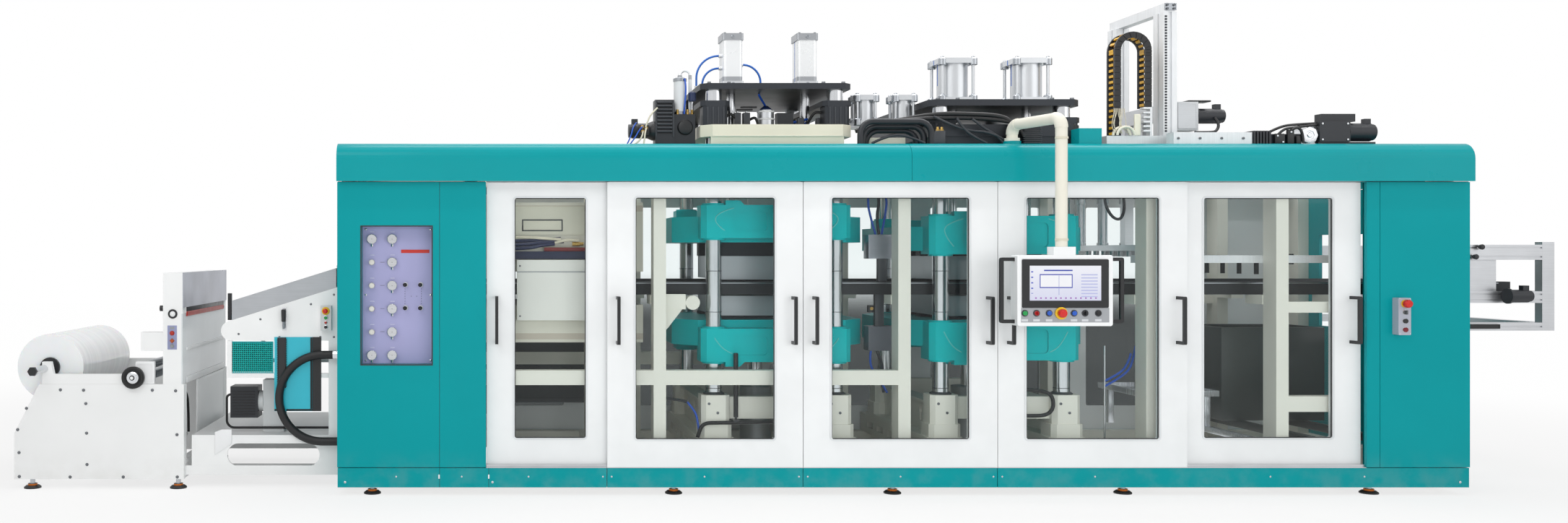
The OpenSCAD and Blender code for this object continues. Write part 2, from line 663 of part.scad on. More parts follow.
// Base plates on the roof frame, bearing blocks round the pillars, and the plates that carry the cylinders
base_z = [roof_top + 60, roof_top + head_h];
module crossheads() color("#3a3d40") placed() for (s = [0, 1]) {
    x = station_x[s];
    half = pillar_pitch_x / 2 + 95;
    y = [axis_y - platen_d / 2, axis_y + platen_d / 2];
    difference() {
        slab(cut_box([x - half, x + half], y, 45), [top_plate_z[s], top_plate_z[s] + top_plate_t[s]]);
        at_rods(s) rod_z(0, 0, [top_plate_z[s] - 1, top_plate_z[s] + 60], rod_d + 2 * run_clear);
    }
    // Side plates over the bearing blocks
    side_z = [top_plate_z[s] - 110, top_plate_z[s] - 76];
    for (side = [-1, 1]) difference() {
        slab(cut_box([x + side * (half - 95) - 95, x + side * (half - 95) + 95], y, 30), side_z);
        at_pillars(s) rod_z(0, 0, [side_z[0] - 1, side_z[1] + 1], pillar_d + 0.6);
    }
    at_pillars(s) difference() {
        slab(cut_box([-80, 80], [-80, 80], 20), [base_z[1] + seat, side_z[0] - seat]);
        rod_z(0, 0, [base_z[1], side_z[0]], pillar_d + 0.6);
    }
    // Base plate on its two seating bars
    base_y = [beam_y, cabinet_d - beam_y];
    difference() {
        union() {
            slab(cut_box([x - half, x + half], base_y, 70), base_z);
            both_sides() block([x - half + 60, x + half - 60],
                [beam_y + 12, axis_y - pillar_pitch_y / 2 + 90], [roof_top + seat, base_z[0] + 1]);
        }
        at_pillars(s) rod_z(0, 0, [roof_top, base_z[1] + 1], pillar_d + 0.6);
        at_rods(s) rod_z(0, 0, [roof_top, base_z[1] + 1], rod_d + 20);
        block([x - 200, x + 200], [axis_y - 250, axis_y + 350], [roof_top, base_z[1] + 1]);
    }
}

// A cast platen: deep front and rear beams round the pillars, and a wide ribbed middle between them
module platen(s, beam, wing, up) {
    x = station_x[s];
    half = pillar_pitch_x / 2 + platen_over;
    wide = half + wing_over;
    y = [axis_y - platen_d / 2, axis_y + platen_d / 2];
    skin = 45;
    rib = 30;
    half_rib = rib / 2;
    inner_y = y[0] + 200;
    step = [(2 * half - rib) / 4, (platen_d - 400) / 4];
    difference() {
        union() {
            difference() {
                slab([[x - half, y[0] + 150], [x + half, y[0] + 150], [x + wide, y[0] + 330],
                    [x + wide, y[1] - 330], [x + half, y[1] - 150], [x - half, y[1] - 150],
                    [x - wide, y[1] - 330], [x - wide, y[0] + 330]], wing);
                // Pockets between the ribs
                for (ix = [0:3], iy = [0:3]) block(
                    [x - half + rib + ix * step[0], x - half + (ix + 1) * step[0]],
                    [inner_y + iy * step[1] + half_rib, inner_y + (iy + 1) * step[1] - half_rib],
                    up ? [wing[0] + skin, wing[1] + 1] : [wing[0] - 1, wing[1] - skin]);
            }
            both_sides() slab([[x - half, y[0] + 190], [x - half, y[0] + 34], [x - half + 34, y[0]],
                [x + half - 34, y[0]], [x + half, y[0] + 34], [x + half, y[0] + 190]], beam);
            at_pillars(s) rod_z(0, 0, [beam[0] - 12, beam[1] + 12], pillar_d + 50);
            // Bosses that the piston rods bear on
            if (up) at_rods(s) rod_z(0, 0, [wing[0] + 1, beam[1]], rod_d + 50);
            else rod_z(x, axis_y, [wing[0], wing[1] - 1], rod_d + 90);
            // Stop lug on the front beam
            lug = up ? beam[1] : beam[0];
            out = up ? 30 : -30;
            upright([y[0], y[0] + 70], [[x - 335, lug - out], [x - 335, lug + out], [x - 240, lug + out],
                [x - 180, lug - out]]);
        }
        at_pillars(s) rod_z(0, 0, [beam[0] - 13, beam[1] + 13], pillar_d + 2 * run_clear);
        // Shallow panels in the front face
        for (dx = [-1, 1]) upright([y[0] - 1, y[0] + 10], round_box([x + dx * 170 - 110, x + dx * 170 + 110],
            [beam[0] + 45, beam[1] - 45], 30));
    }
}

// Tooling: three clamp bars and a tool block with open cavities
tool_w = 700;
tool_d = rail_pitch_y - rail_w - 60;
module tooling(s, bar_z, block_z, face) {
    x = station_x[s];
    y = [axis_y - tool_d / 2, axis_y + tool_d / 2];
    for (dy = [-1, 0, 1]) block([x - tool_w / 2, x + tool_w / 2],
        [axis_y + dy * (tool_d / 2 - 60) - 45, axis_y + dy * (tool_d / 2 - 60) + 45], bar_z);
    difference() {
        block([x - tool_w / 2 + 10, x + tool_w / 2 - 10], y, block_z);
        // Cavities for the packs, open towards the web
        for (ix = [0:2], iy = [0:3])
            slab(round_box([x - tool_w / 2 + 60 + ix * 200, x - tool_w / 2 + 60 + ix * 200 + 180],
                [y[0] + 30 + iy * (tool_d - 60) / 4 + 8, y[0] + 30 + (iy + 1) * (tool_d - 60) / 4 - 8], 24),
                face > 0 ? [block_z[1] - 70, block_z[1] + 1] : [block_z[0] - 1, block_z[0] + 70]);
    }
}

rail_z = [web_z - rail_h / 2, web_z + rail_h / 2];
rail_start = -30;

module upper_platen(s) {
    platen(s, upper_beam_z[s], upper_wing_z[s], true);
    at_rods(s) rod_z(0, 0, [upper_beam_z[s][1] + seat, top_plate_z[s] + top_plate_t[s] + 60], rod_d);
    tooling(s, [rail_z[1] + 170 + seat, upper_wing_z[s][0] - seat], [rail_z[1] + 12, rail_z[1] + 170], -1);
}

module lower_platen(s) {
    platen(s, lower_beam_z[s], lower_wing_z[s], false);
    rod_z(station_x[s], axis_y, [foot_top - 200, lower_wing_z[s][0] - seat], rod_d + 30);
    bar_top = lower_wing_z[s][1] + 24;
    tooling(s, [lower_wing_z[s][1] + seat, bar_top], [bar_top + seat, rail_z[0] - 12], 1);
}

module station_1_upper_platen() color("#0aafa3") placed() upper_platen(0);
module station_1_lower_platen() color("#0aafa3") placed() lower_platen(0);
module station_2_upper_platen() color("#0aafa3") placed() upper_platen(1);
module station_2_lower_platen() color("#0aafa3") placed() lower_platen(1);

// A cylinder with a square cap at each end, held by four tie rods and their nuts
module tie_rod_cylinder(z, barrel, cap) {
    h = cap / 2;
    rod_z(0, 0, z, barrel);
    for (end = [[z[0], z[0] + 34], [z[1] - 34, z[1]]]) slab(round_box([-h, h], [-h, h], 14), end);
    for (dx = [-1, 1], dy = [-1, 1]) {
        rod_z(dx * (h - 22), dy * (h - 22), [z[0] + 1, z[1] + 6], 20);
        rod_z(dx * (h - 22), dy * (h - 22), [z[1] - 42, z[1] + 2], 44);
        rod_z(dx * (h - 22), dy * (h - 22), [z[0], z[0] + 40], 44);
    }
}

small_x = [station_1_x + pillar_pitch_x / 2 + 250, station_x[1] - pillar_pitch_x / 2 - 192];
small_y = axis_y - 400;
stand_z = roof_top + head_h + 16;

// Cylinders above the top plates and between the stations, and lift cylinders under the lower platens
module press_cylinders() color("#c4c7c9") placed() {
    for (s = [0, 1]) at_rods(s) {
        z = [top_plate_z[s] + top_plate_t[s] + seat, top_plate_z[s] + top_plate_t[s] + cylinder_h[s]];
        difference() {
            union() {
                if (s == 1) tie_rod_cylinder(z, 200, 250);
                else {
                    slab(round_box([-66, 66], [-84, 84], 22), z);
                    for (end = [[z[0], z[0] + 40], [z[1] - 46, z[1]]])
                        slab(round_box([-72, 72], [-90, 90], 14), end);
                }
            }
            rod_z(0, 0, [z[0] - 1, z[1] - 30], rod_d + 2 * run_clear);
        }
    }
    // Air hoses of station 1, each from its fitting on a cylinder down to one on the top plate
    hose_y = axis_y - rod_y_off;
    hose_d = 14;
    fitting_d = 26;
    plate_z = top_plate_z[0] + top_plate_t[0] + seat;
    left_face = station_x[0] - rod_x_off - 66;
    right_face = station_x[0] - rod_x_off + 66;
    for (hose = [[left_face, 150, 70, 90], [left_face, 110, 26, 90], [right_face, 120, 40, 0]]) {
        x = hose[0];
        r = hose[1];
        side = hose[3] > 0 ? -1 : 1;
        centre_z = plate_z + hose[2];
        rod_x(side < 0 ? [x - 16, x - seat] : [x + seat, x + 16], hose_y, centre_z + r, fitting_d);
        bend(x + side * (16 + seat), hose_y, centre_z, r, hose[3], 90, hose_d);
        rod_z(x + side * (16 + seat + r), hose_y, [plate_z + 16 + seat, centre_z], hose_d);
        rod_z(x + side * (16 + seat + r), hose_y, [plate_z, plate_z + 16], fitting_d);
    }
    // Air filter on the base plate, and the reservoir beside the finned gearbox with its bent pipe
    rod_z(station_x[0] - 30, axis_y - 480, [base_z[1] + seat, base_z[1] + 116], 110);
    reservoir_x = post_x[1] + 166;
    rod_z(reservoir_x, axis_y - 540, [roof_top + 216 + seat, roof_top + 460], 81);
    rod_z(reservoir_x, axis_y - 540, [roof_top + 460 + seat, roof_top + 480], 30);
    bend(reservoir_x + 34, axis_y - 540, roof_top + 480 + seat, 34, 0, 180, 22);
    rod_z(reservoir_x + 68, axis_y - 540, [roof_top + 216 + seat, roof_top + 480], 22);
    // Two small cylinders on a strap between the base plates
    block([station_x[0] + pillar_pitch_x / 2 + 20, station_x[1] - pillar_pitch_x / 2 - 20],
        [small_y - 70, small_y + 70], [base_z[1] + seat, stand_z]);
    for (x = small_x) translate([x, small_y, 0]) tie_rod_cylinder([stand_z + seat, roof_top + 360], 126, 164);
    for (s = [0, 1]) difference() {
        rod_z(station_x[s], axis_y, [plinth_h + seat, foot_top - 10], 220);
        rod_z(station_x[s], axis_y, [plinth_h + 40, foot_top], rod_d + 30 + 2 * run_clear);
    }
    // Beams under the lift cylinders
    reach = pillar_pitch_x / 2 - 50 - seat;
    for (s = [0, 1])
        block([station_x[s] - reach, station_x[s] + reach], [axis_y - 60, axis_y + 60],
            [foot_h + 20, plinth_h]);
}

// Upper box hung from the roof frame, lower box on legs, and the cover at the front of the heated web
module heaters() color("#e8e4d0") placed() {
    y = [axis_y - 548, axis_y + 548];
    upper = [web_z + 110, web_z + 570];
    lower = [web_z - 360, web_z - 110];
    difference() {
        block(heater_x, y, upper);
        block([heater_x[0] + 20, heater_x[1] - 20], [y[0] + 20, y[1] - 20], [upper[0] - 1, upper[1] - 20]);
    }
    difference() {
        block(heater_x, y, lower);
        block([heater_x[0] + 20, heater_x[1] - 20], [y[0] + 20, y[1] - 20], [lower[0] + 20, lower[1] + 1]);
    }
    // Element trays, cut into tiles
    tray_x = [heater_x[0] + 40, heater_x[1] - 40];
    tray_y = [y[0] + 40, y[1] - 40];
    for (tray = [[[upper[1] - 60, upper[1] - 20 - seat], [upper[1] - 61, upper[1] - 38]],
        [[lower[0] + 20 + seat, lower[0] + 60], [lower[0] + 38, lower[0] + 61]]]) difference() {
        block(tray_x, tray_y, tray[0]);
        for (i = [1:11]) let (x = tray_x[0] + i * (tray_x[1] - tray_x[0]) / 12)
            block([x - 4, x + 4], [tray_y[0] - 1, tray_y[1] + 1], tray[1]);
        for (i = [1:5]) let (ty = tray_y[0] + i * (tray_y[1] - tray_y[0]) / 6)
            block([tray_x[0] - 1, tray_x[1] + 1], [ty - 4, ty + 4], tray[1]);
    }
    block([left_bay + 200, heater_x[1] - 340], [y[0] - 92, y[0] - seat], [web_z - 209, web_z + 189]);
    for (x = hanger_x) both_sides() {
        block([x - 30, x + 30], [y[0] + 40, y[0] + 100], [upper[1] + seat, beam_z + beam_h - 100 - seat]);
        block([x - 30, x + 30], [y[0] + 40, y[0] + 100], [plinth_h + seat, lower[0] - seat]);
    }
}

module transport_rails() color("#2c2e30") placed() both_sides() {
    y = axis_y - rail_pitch_y / 2;
    difference() {
        block([rail_start, cabinet_l + 560], [y - rail_w / 2, y + rail_w / 2], rail_z);
        // Groove that the chain runs in
        block([rail_start - 1, cabinet_l + 561], [y + rail_w / 2 - 26, y + rail_w / 2 + 1],
            [web_z - 10, web_z + 10]);
    }
}

// ---- Stacker ----

tower_y = [axis_y - 600, axis_y - 470];
tower_half = 45;
bed_z = beam_z + beam_h + seat;
bed_h = 94;

rear_tower_y = [axis_y + 30, axis_y + 160];
chain_y = [tower_y[0] + 5, tower_y[0] + 120];
chain_x = tower_x - 241;
chain_r = 122;
chain_band = 40;
chain_foot = bed_z + bed_h + seat;
link_pitch = 38;
chain_right_z = chain_foot + 5 * link_pitch;
module stacker_tower() color("#c4c7c9") placed() {
    for (y = [[tower_y[0], tower_y[1] - 50], [rear_tower_y[0] + 50, rear_tower_y[1]]])
        block([post_x[3] - 200, post_x[4] + 40], y, [bed_z, bed_z + bed_h]);
    for (y = [tower_y, rear_tower_y]) difference() {
        block([tower_x - tower_half, tower_x + tower_half], y, [bed_z + bed_h + seat, tower_h - 60 - seat]);
        // Slots down the faces of the section
        for (side = [-1, 1]) let (x = tower_x + side * tower_half)
            block([x - 10, x + 10], [y[0] + 55, y[0] + 75], [bed_z + bed_h, tower_h]);
        block([tower_x - 10, tower_x + 10], [y[0] - 1, y[0] + 10], [bed_z + bed_h, tower_h]);
    }
    block([tower_x - 30, tower_x + 30], [tower_y[0], rear_tower_y[1]], [tower_h - 60, tower_h]);
    // Comb bracket under the right leg of the chain
    comb_x = chain_x + chain_r - chain_band - 15;
    block([comb_x + 44, comb_x + 58], [chain_y[0], chain_y[0] + 50], [chain_foot, chain_right_z - seat]);
    for (i = [0:5]) block([comb_x, comb_x + 45], [chain_y[0], chain_y[0] + 50],
        [chain_right_z - seat - 12 - i * 30, chain_right_z - seat - i * 30]);
    // Linear rail on the front cover
    block([tower_x - 80, right_end - 430], [110, 200], [roof_top + seat, roof_top + 79]);
    // Beam that the pick arm runs along
    block([post_x[3] - 40, post_x[5] + 40], [post_y + post_d + seat, post_y + post_d + 60],
        [web_z + 169, web_z + 219]);
}

grip_z = 1560;

module stacker_carriage() color("#dfe1e2") placed() {
    inner = [tower_y[1] + 0.3, rear_tower_y[0] - 0.3];
    block([tower_x - 40, tower_x + 40], inner, [bed_z + 204, bed_z + 304]);
    for (y = [axis_y - 300, axis_y - 60])
        block([tower_x - 30, tower_x + 30], [y, y + 60], [grip_z + 40 + seat, bed_z + 204 - seat]);
    block([tower_x - 140, tower_x + 230], [axis_y - 420, axis_y + 420], [grip_z, grip_z + 40]);
    for (x = [tower_x - 90, tower_x + 45, tower_x + 180], y = [axis_y - 360:120:axis_y + 360])
        rod_z(x, y, [grip_z - 40, grip_z - seat], 40);
}

arm_x = post_x[4] + 60;
module pick_arm() color("#26282a") placed() {
    y0 = post_y + post_d + 60.3;
    z = web_z + 159;
    block([arm_x, arm_x + 140], [y0, y0 + 85], [z, z + 70]);
    block([arm_x + 40, arm_x + 100], [y0 + 85 + seat, axis_y + 420], [z + 10, z + 60]);
    rod_z(arm_x + 70, y0 + 45, [z + 70 + seat, z + 200], 90);
    for (y = [axis_y - 300:200:axis_y + 300]) rod_z(arm_x + 70, y, [z - 70, z + 10 - seat], 30);
}

// Places its children at the middle of every link, from the left foot over the bend to the right foot
module at_links() {
    top = tower_h - 190 - chain_r;
    mid_r = chain_r - chain_band / 2;
    for (z = [chain_foot + link_pitch / 2:link_pitch:top - 10])
        translate([chain_x - mid_r, 0, z]) children();
    for (z = [chain_right_z + link_pitch / 2:link_pitch:top - 10])
        translate([chain_x + mid_r, 0, z]) children();
    for (i = [0:8]) translate([chain_x, 0, top]) rotate([0, i * 22.5, 0]) translate([-mid_r, 0, 0]) children();
}

// Cable chain bent over in a tall loop: two side bands notched into links, and the bars across them
module cable_chain() color("#1b1b1c") placed() {
    top = tower_h - 190 - chain_r;
    r = chain_r;
    b = chain_band;
    difference() {
        for (y = [[chain_y[0], chain_y[0] + 16], [chain_y[1] - 16, chain_y[1]]]) upright(y, concat(
            [[chain_x + r, chain_right_z]], arc(chain_x, top, r, 0, 180, 16),
            [[chain_x - r, chain_foot], [chain_x + b - r, chain_foot]],
            arc(chain_x, top, r - b, 180, 0, 16), [[chain_x + r - b, chain_right_z]]));
        at_links() block([-b / 2 - 1, b / 2 + 1], [chain_y[0] - 1, chain_y[0] + 4],
            [link_pitch / 2 - 2, link_pitch / 2 + 2]);
    }
    at_links() for (side = [-1, 1])
        block([side * 13 - 5, side * 13 + 5], [chain_y[0] + 15, chain_y[1] - 15], [-8, 8]);
}

// ---- Drives ----

right_end = cabinet_l - 892;
// Left end and axis height of the servo that drives the chains at the infeed
servo_end = -777;
servo_z = 542;

// A servo motor along X: flange at the start, then its body, cap and connector, to the right or the left
module motor_x(x, length, y, z, d, side = 1) translate([x, y, z]) mirror([side < 0 ? 1 : 0, 0, 0]) {
    rod_x([0, 14], 0, 0, d + 16);
    rod_x([13, length - 20], 0, 0, d);
    rod_x([length - 21, length], 0, 0, d - 12);
    block([length - 60, length - 20], [-18, 18], [d / 2 - 10, d / 2 + 28]);
}

module drive_motors() color("#2a2d33") placed() {
    // Tower lift drive
    gear_x = tower_x + tower_half + seat;
    block([gear_x, gear_x + 145], [tower_y[0] + 8, tower_y[0] + 118], [bed_z + 130, bed_z + 320]);
    motor_x(gear_x + 145 + seat, 190, tower_y[0] + 63, bed_z + 230, 100);
    // Drive on the right end of the roof, with the bellows and the joint of its linear rail
    end = right_end;
    block([end, end + 370], [115, 215], [roof_top + seat, roof_top + 17]);
    block([end, end + 198], [100, 230], [roof_top + 17 + seat, roof_top + 149]);
    motor_x(end + 198 + seat, 184, 165, roof_top + 83, 118);
    block([end + 30, end + 250], [130, 200], [roof_top + 150, roof_top + 200]);
    rod_y(end - 61, [110, 230], roof_top + 60, 100);
    rod_x([end - 14, end - seat], 165, roof_top + 83, 80);
    block([end - 110, end - 12], [130, 200], [roof_top + seat, roof_top + 50]);
    for (i = [0:5])
        block([end - 426 + i * 20, end - 414 + i * 20], [100, 210], [roof_top + seat, roof_top + 88]);
    block([end - 420, end - 111], [115, 195], [roof_top + seat, roof_top + 68]);
    // Drive at the front of station 1: a finned gearbox and a small motor beside it
    left_x = post_x[1] - 30;
    block([left_x + 22, left_x + 150], [axis_y - 620, axis_y - 500], [bed_z, bed_z + 80]);
    difference() {
        block([left_x + 22, left_x + 148], [axis_y - 615, axis_y - 505], [bed_z + 80 + seat, bed_z + 330]);
        for (i = [0:8]) let (z = bed_z + 105 + i * 24)
            block([left_x + 38, left_x + 132], [axis_y - 616, axis_y - 600], [z, z + 11]);
    }
    motor_x(left_x + 22 - seat, 170, axis_y - 560, bed_z + 129, 100, -1);
    // Motor on the middle rail of the outfeed
    motor_x(cabinet_l + 436, 152, axis_y - 650 - seat, 1262, 84);
    // Solenoid block on the base plate, and the body that carries the reservoir
    block([station_x[0] + 40, station_x[0] + 146], [axis_y - 520, axis_y - 440],
        [base_z[1] + seat, base_z[1] + 96]);
    block([left_x + 148 + seat, left_x + 290], [axis_y - 600, axis_y - 480], [bed_z, roof_top + 216]);
    // Three cables looped over the gap between the base plates
    for (i = [0:2]) {
        loop_x = [station_x[0] + pillar_pitch_x / 2 + 120 + i * 30,
            station_x[1] - pillar_pitch_x / 2 - 120 - i * 34];
        top = roof_top + 150 - i * 26;
        y = 122 + i * 44;
        r = 84;
        for (x = loop_x) rod_z(x, y, [roof_top + seat, top - r], 40);
        bend(loop_x[0] + r, y, top - r, r, 90, 90, 40);
        bend(loop_x[1] - r, y, top - r, r, 0, 90, 40);
        rod_x([loop_x[0] + r, loop_x[1] - r], y, top, 40);
    }
    // Chain drive at the infeed, on its stand
    drive_y = infeed_y[0] + 230;
    block([-560, -420], [drive_y - 60, drive_y + 60], [342 + seat, 690]);
    rod_x([-592, -560 - seat], drive_y, servo_z, 140);
    block([servo_end, -592 - seat], [drive_y - 80, drive_y + 80], [servo_z - 105, servo_z + 105]);
}

// ---- Unwinder ----

plate_top = 683;
strip_top = 749;
column_h = 732;
column_w = 129;
cross_w = 60;

module unwinder_frame() color("#ededed") placed() {
    x = [unwinder_x, -infeed_gap];
    front = [side_y[0], side_y[0] + side_t];
    both_sides() {
        upright(front, [[x[0], unwinder_z], [x[0], unwinder_z + 300], [x[0] + 164, plate_top],
            [x[1], plate_top], [x[1], unwinder_z]]);
        // Upper strip and the bearing block of the mandrel
        difference() {
            upright([front[0] + 4, front[1]], [[x[0] + 182, plate_top + seat], [x[0] + 182, mandrel_z + 45],
                [mandrel_x + 45, mandrel_z + 45], [mandrel_x + 62, strip_top], [wheel_x + 45, strip_top],
                [wheel_x + 45, plate_top + seat]]);
            rod_y(mandrel_x, [front[0] - 1, front[1] + 1], mandrel_z, mandrel_d + 2 * run_clear);
        }
    }
    rod_y(wheel_x, [front[0] - 60, front[0] + 10], wheel_z, 20);
    for (cx = [x[0] + 30, x[0] + 500, x[1] - cross_w]) block([cx, cx + cross_w],
        [front[1] + seat, cabinet_d - front[1] - seat], [unwinder_z + 20, unwinder_z + 120]);
}

module unwinder_cabinet() color("#ededed") placed() {
    x = [-infeed_gap - 8 - column_w, -infeed_gap - 8];
    top = plate_top + column_h;
    inner = [side_y[0] + 90 + seat, cabinet_d - side_y[0] - 90 - seat];
    both_sides() {
        block(x, [side_y[0], side_y[0] + 90], [plate_top + seat, top]);
        block([x[0] - 148, x[0] - seat], [side_y[0] + 10, side_y[0] + 80], [901, 1024]);
        rod_x([x[0] - 30, x[0] - seat], side_y[0] + 45, 1180, 38);
    }
    // Hood over the pull rollers, clad on the side towards the infeed
    block(x, inner, [top - 225, top - 2]);
    block([x[1] + seat, x[1] + 7], [side_y[0], cabinet_d - side_y[0]], [top - 228, top + 2]);
    for (z = [760, 920, 1080]) rod_y((x[0] + x[1]) / 2 - 10, inner, z, 90);
    block([x[1] - 8, x[1]], inner, [plate_top + 20, top - 270]);
}

module film_roll() color("#f2f4f5") placed() difference() {
    rod_y(mandrel_x, [axis_y - roll_l / 2, axis_y + roll_l / 2], mandrel_z, roll_d);
    rod_y(mandrel_x, [axis_y - roll_l, axis_y + roll_l], mandrel_z, 130);
}

module mandrel() color("#2a2a2c") placed() {
    rod_y(mandrel_x, [side_y[0] - 190, cabinet_d - side_y[0] + 60], mandrel_z, mandrel_d);
    both_sides() rod_y(mandrel_x, [axis_y - roll_l / 2 - 20, axis_y - roll_l / 2 + 100], mandrel_z, 129.6);
    translate([mandrel_x, side_y[0] - 189, mandrel_z]) rotate([90, 0, 0]) cylinder(d = 62, h = 20, $fn = 6);
}

module guide_wheel() color("#1d1d1f") placed() translate([wheel_x, side_y[0] - 4, wheel_z]) rotate([90, 0, 0])
    rotate_extrude() polygon([[10 + run_clear, 0], [30, 0], [30, 8], [46, 12], [56, 4], [68, 4], [73, 10],
        [73, 34], [68, 40], [56, 40], [46, 32], [30, 38], [30, 48], [10 + run_clear, 48]]);

// ---- Infeed ----

infeed_y = [side_y[0] + 50, side_y[0] + 70];
nose = [-742, 1031];
nose_r = 65;
slope_top = 1331;
nose_top = [nose[0] + nose_r * cos(107), nose[1] + nose_r * sin(107)];
hinge_x = -40;
hinge_z = 1455;

module infeed_frame() color("#ededed") placed() {
    end = -seat;
    both_sides() {
        // Side plate with a round nose and a sloping top
        upright(infeed_y, concat(arc(nose[0], nose[1], nose_r, 107, 270, 10),
            [[end, nose[1] - nose_r], [end, slope_top]]));
        block([-infeed_gap + seat, end], [infeed_y[0], infeed_y[0] + 80], [80, 141]);
        difference() {
            block([-infeed_gap + 40, end], [infeed_y[0], infeed_y[0] + 12], [141 + seat, 330]);
            for (x = [-690, -230]) rod_y(x, [infeed_y[0] - 1, infeed_y[0] + 13], 212, 150);
            block([-690, -230], [infeed_y[0] - 1, infeed_y[0] + 13], [137, 287]);
        }
        block([-95, -25], infeed_y, [330 + 2 * seat + 12, nose[1] - nose_r - seat]);
        // Guard frame under the side plate
        block([-765, -96], infeed_y, [720, 750]);
        block([-765, -735], infeed_y, [750 + seat, nose[1] - nose_r - seat]);
        // Wall bracket that holds the pin of the cover hinge
        block([hinge_x - 2, end], [infeed_y[0] + 60, infeed_y[0] + 90], [hinge_z - 14, hinge_z + 14]);
    }
    block([-infeed_gap + 40, end], [infeed_y[0], cabinet_d - infeed_y[0]], [330 + seat, 342]);
    rod_y(hinge_x, [infeed_y[0] + 60, cabinet_d - infeed_y[0] - 60], hinge_z, 16);
    // Rollers that lead the web round the nose and up to the chain rails
    rod_y(nose[0], [infeed_y[1] + seat, cabinet_d - infeed_y[1] - seat], nose[1], 104);
    rod_y(-170, [infeed_y[1] + seat, cabinet_d - infeed_y[1] - seat], 1205, 90);
    // Service panel with its cable duct, on the side plate and the guard frame
    block([-453, -201], [infeed_y[0] - 6, infeed_y[0] - seat], [501, 990]);
    block([-201 + seat, -143], [infeed_y[0] - 6, infeed_y[0] - seat], [501, 990]);
    // Control station at the end of the front plate
    block([-143, -72], [infeed_y[0] - 45, infeed_y[0] - seat], [1035, 1198]);
    // Lever of the web clamp
    rod_y(-387, [infeed_y[0] - 30, infeed_y[0] - seat], 1100, 22);
}

// Underside of the cover, just above the sloping top of the side plates
function low(x) = slope_top + slack - (slope_top - nose_top[1]) * x / nose_top[0];

module infeed_cover() color("#b7b9bd") placed() {
    x = [-735, -45];
    t = 8;
    h = 128;
    difference() {
        union() {
            upright([infeed_y[0], cabinet_d - infeed_y[0]], [[x[0], low(x[0])], [x[1], low(x[1])],
                [x[1], low(x[1]) + h], [x[0], low(x[0]) + h]]);
            for (y = [infeed_y[0] + 100, axis_y - 40, cabinet_d - infeed_y[0] - 180])
                rod_y(hinge_x, [y, y + 80], hinge_z, 30);
        }
        upright([infeed_y[0] + t, cabinet_d - infeed_y[0] - t], [[x[0] + t, low(x[0]) - 20],
            [x[1] - t, low(x[1]) - 20], [x[1] - t, low(x[1]) + h - t], [x[0] + t, low(x[0]) + h - t]]);
        rod_y(hinge_x, [0, cabinet_d], hinge_z, 16 + 2 * run_clear);
    }
}

// Thick hose from its elbow fitting, round in a half turn and back to the cabinet wall
module infeed_hose() color("#1c1c1e") placed() {
    y = infeed_y[0] - 35;
    r = 285;
    z = 590;
    translate([-130, y, z]) rotate([90, 0, 0]) rotate([0, 0, 90]) rotate_extrude(angle = 180)
        translate([r, 0]) circle(d = 54);
    rod_x([-130 + seat, -60], y, z + r, 54);
    rod_x([-60 + seat, -seat], y, z + r, 66);
    rod_x([-130 + seat, -seat], y, z - r, 54);
    // Motor cable: out of the end of the chain drive, down, and along the base to the cabinet wall
    cable_y = infeed_y[0] + 160;
    cable_d = 16;
    turn_z = servo_z + 25;
    bend(servo_end - seat, cable_y, turn_z, 25, 90, 90, cable_d);
    rod_z(servo_end - 25 - seat, cable_y, [420, turn_z], cable_d);
    bend(servo_end + 25 - seat, cable_y, 420, 50, 180, 90, cable_d);
    rod_x([servo_end + 25 - seat, -seat], cable_y, 370, cable_d);
}

// ---- Outfeed ----

module outfeed_frame() color("#d5d8da") placed() {
    x = [cabinet_l + seat, outfeed_x];
    y = [axis_y - 600, axis_y - 540];
    post = 80;
    bars = [[1032, 1085], [1215, 1292], [1500, 1600]];
    both_sides() {
        block([x[1] - post, x[1]], y, [1032, 1618]);
        for (z = bars) difference() {
            block([x[0], x[1] - post - seat], y, z);
            // Slots along the profile
            for (slot_z = z[1] - z[0] > 60 ? [z[0] + 20, z[1] - 20] : [(z[0] + z[1]) / 2])
                block([x[0] - 1, x[1]], [y[0] - 1, y[0] + 9], [slot_z - 5, slot_z + 5]);
        }
        for (px = [x[0] + 60, x[0] + 480]) block([px, px + 60],
            [y[1] + seat, axis_y - rail_pitch_y / 2 - rail_w / 2 - seat], [web_z - 45, web_z - 20]);
        block([x[0] + 200, x[0] + 420], [y[0] + 20, y[0] + 40], [bars[1][1] + seat, bars[2][0] - seat]);
    }
    for (z = bars) block([x[1] - post, x[1]], [y[1] + seat, cabinet_d - y[1] - seat], z);
}

base_frame();
skirt_panels();
levelling_feet();
guard_posts();
left_column();
right_column();
roof_covers();
rear_panels();
rear_windows();
door_tracks();
gauge_panel();
pressure_gauges();
regulator_knobs();
valve_levers();
door_1();
door_1_window();
door_2();
door_2_window();
door_3();
door_3_window();
door_4();
door_4_window();
door_5();
door_5_window();
hmi_arm();
hmi_panel();
hmi_stop_button();
hmi_selector();
hmi_key_switch();
hmi_green_button();
hmi_left_blue_button();
hmi_right_blue_button();
hmi_black_button();
side_station();
side_stop_button();
side_selector();
pillars();
pillar_feet();
crossheads();
station_1_upper_platen();
station_1_lower_platen();
station_2_upper_platen();
station_2_lower_platen();
press_cylinders();
heaters();
transport_rails();
stacker_tower();
stacker_carriage();
pick_arm();
drive_motors();
cable_chain();
unwinder_frame();
unwinder_cabinet();
film_roll();
mandrel();
guide_wheel();
infeed_frame();
infeed_cover();
infeed_hose();
outfeed_frame();
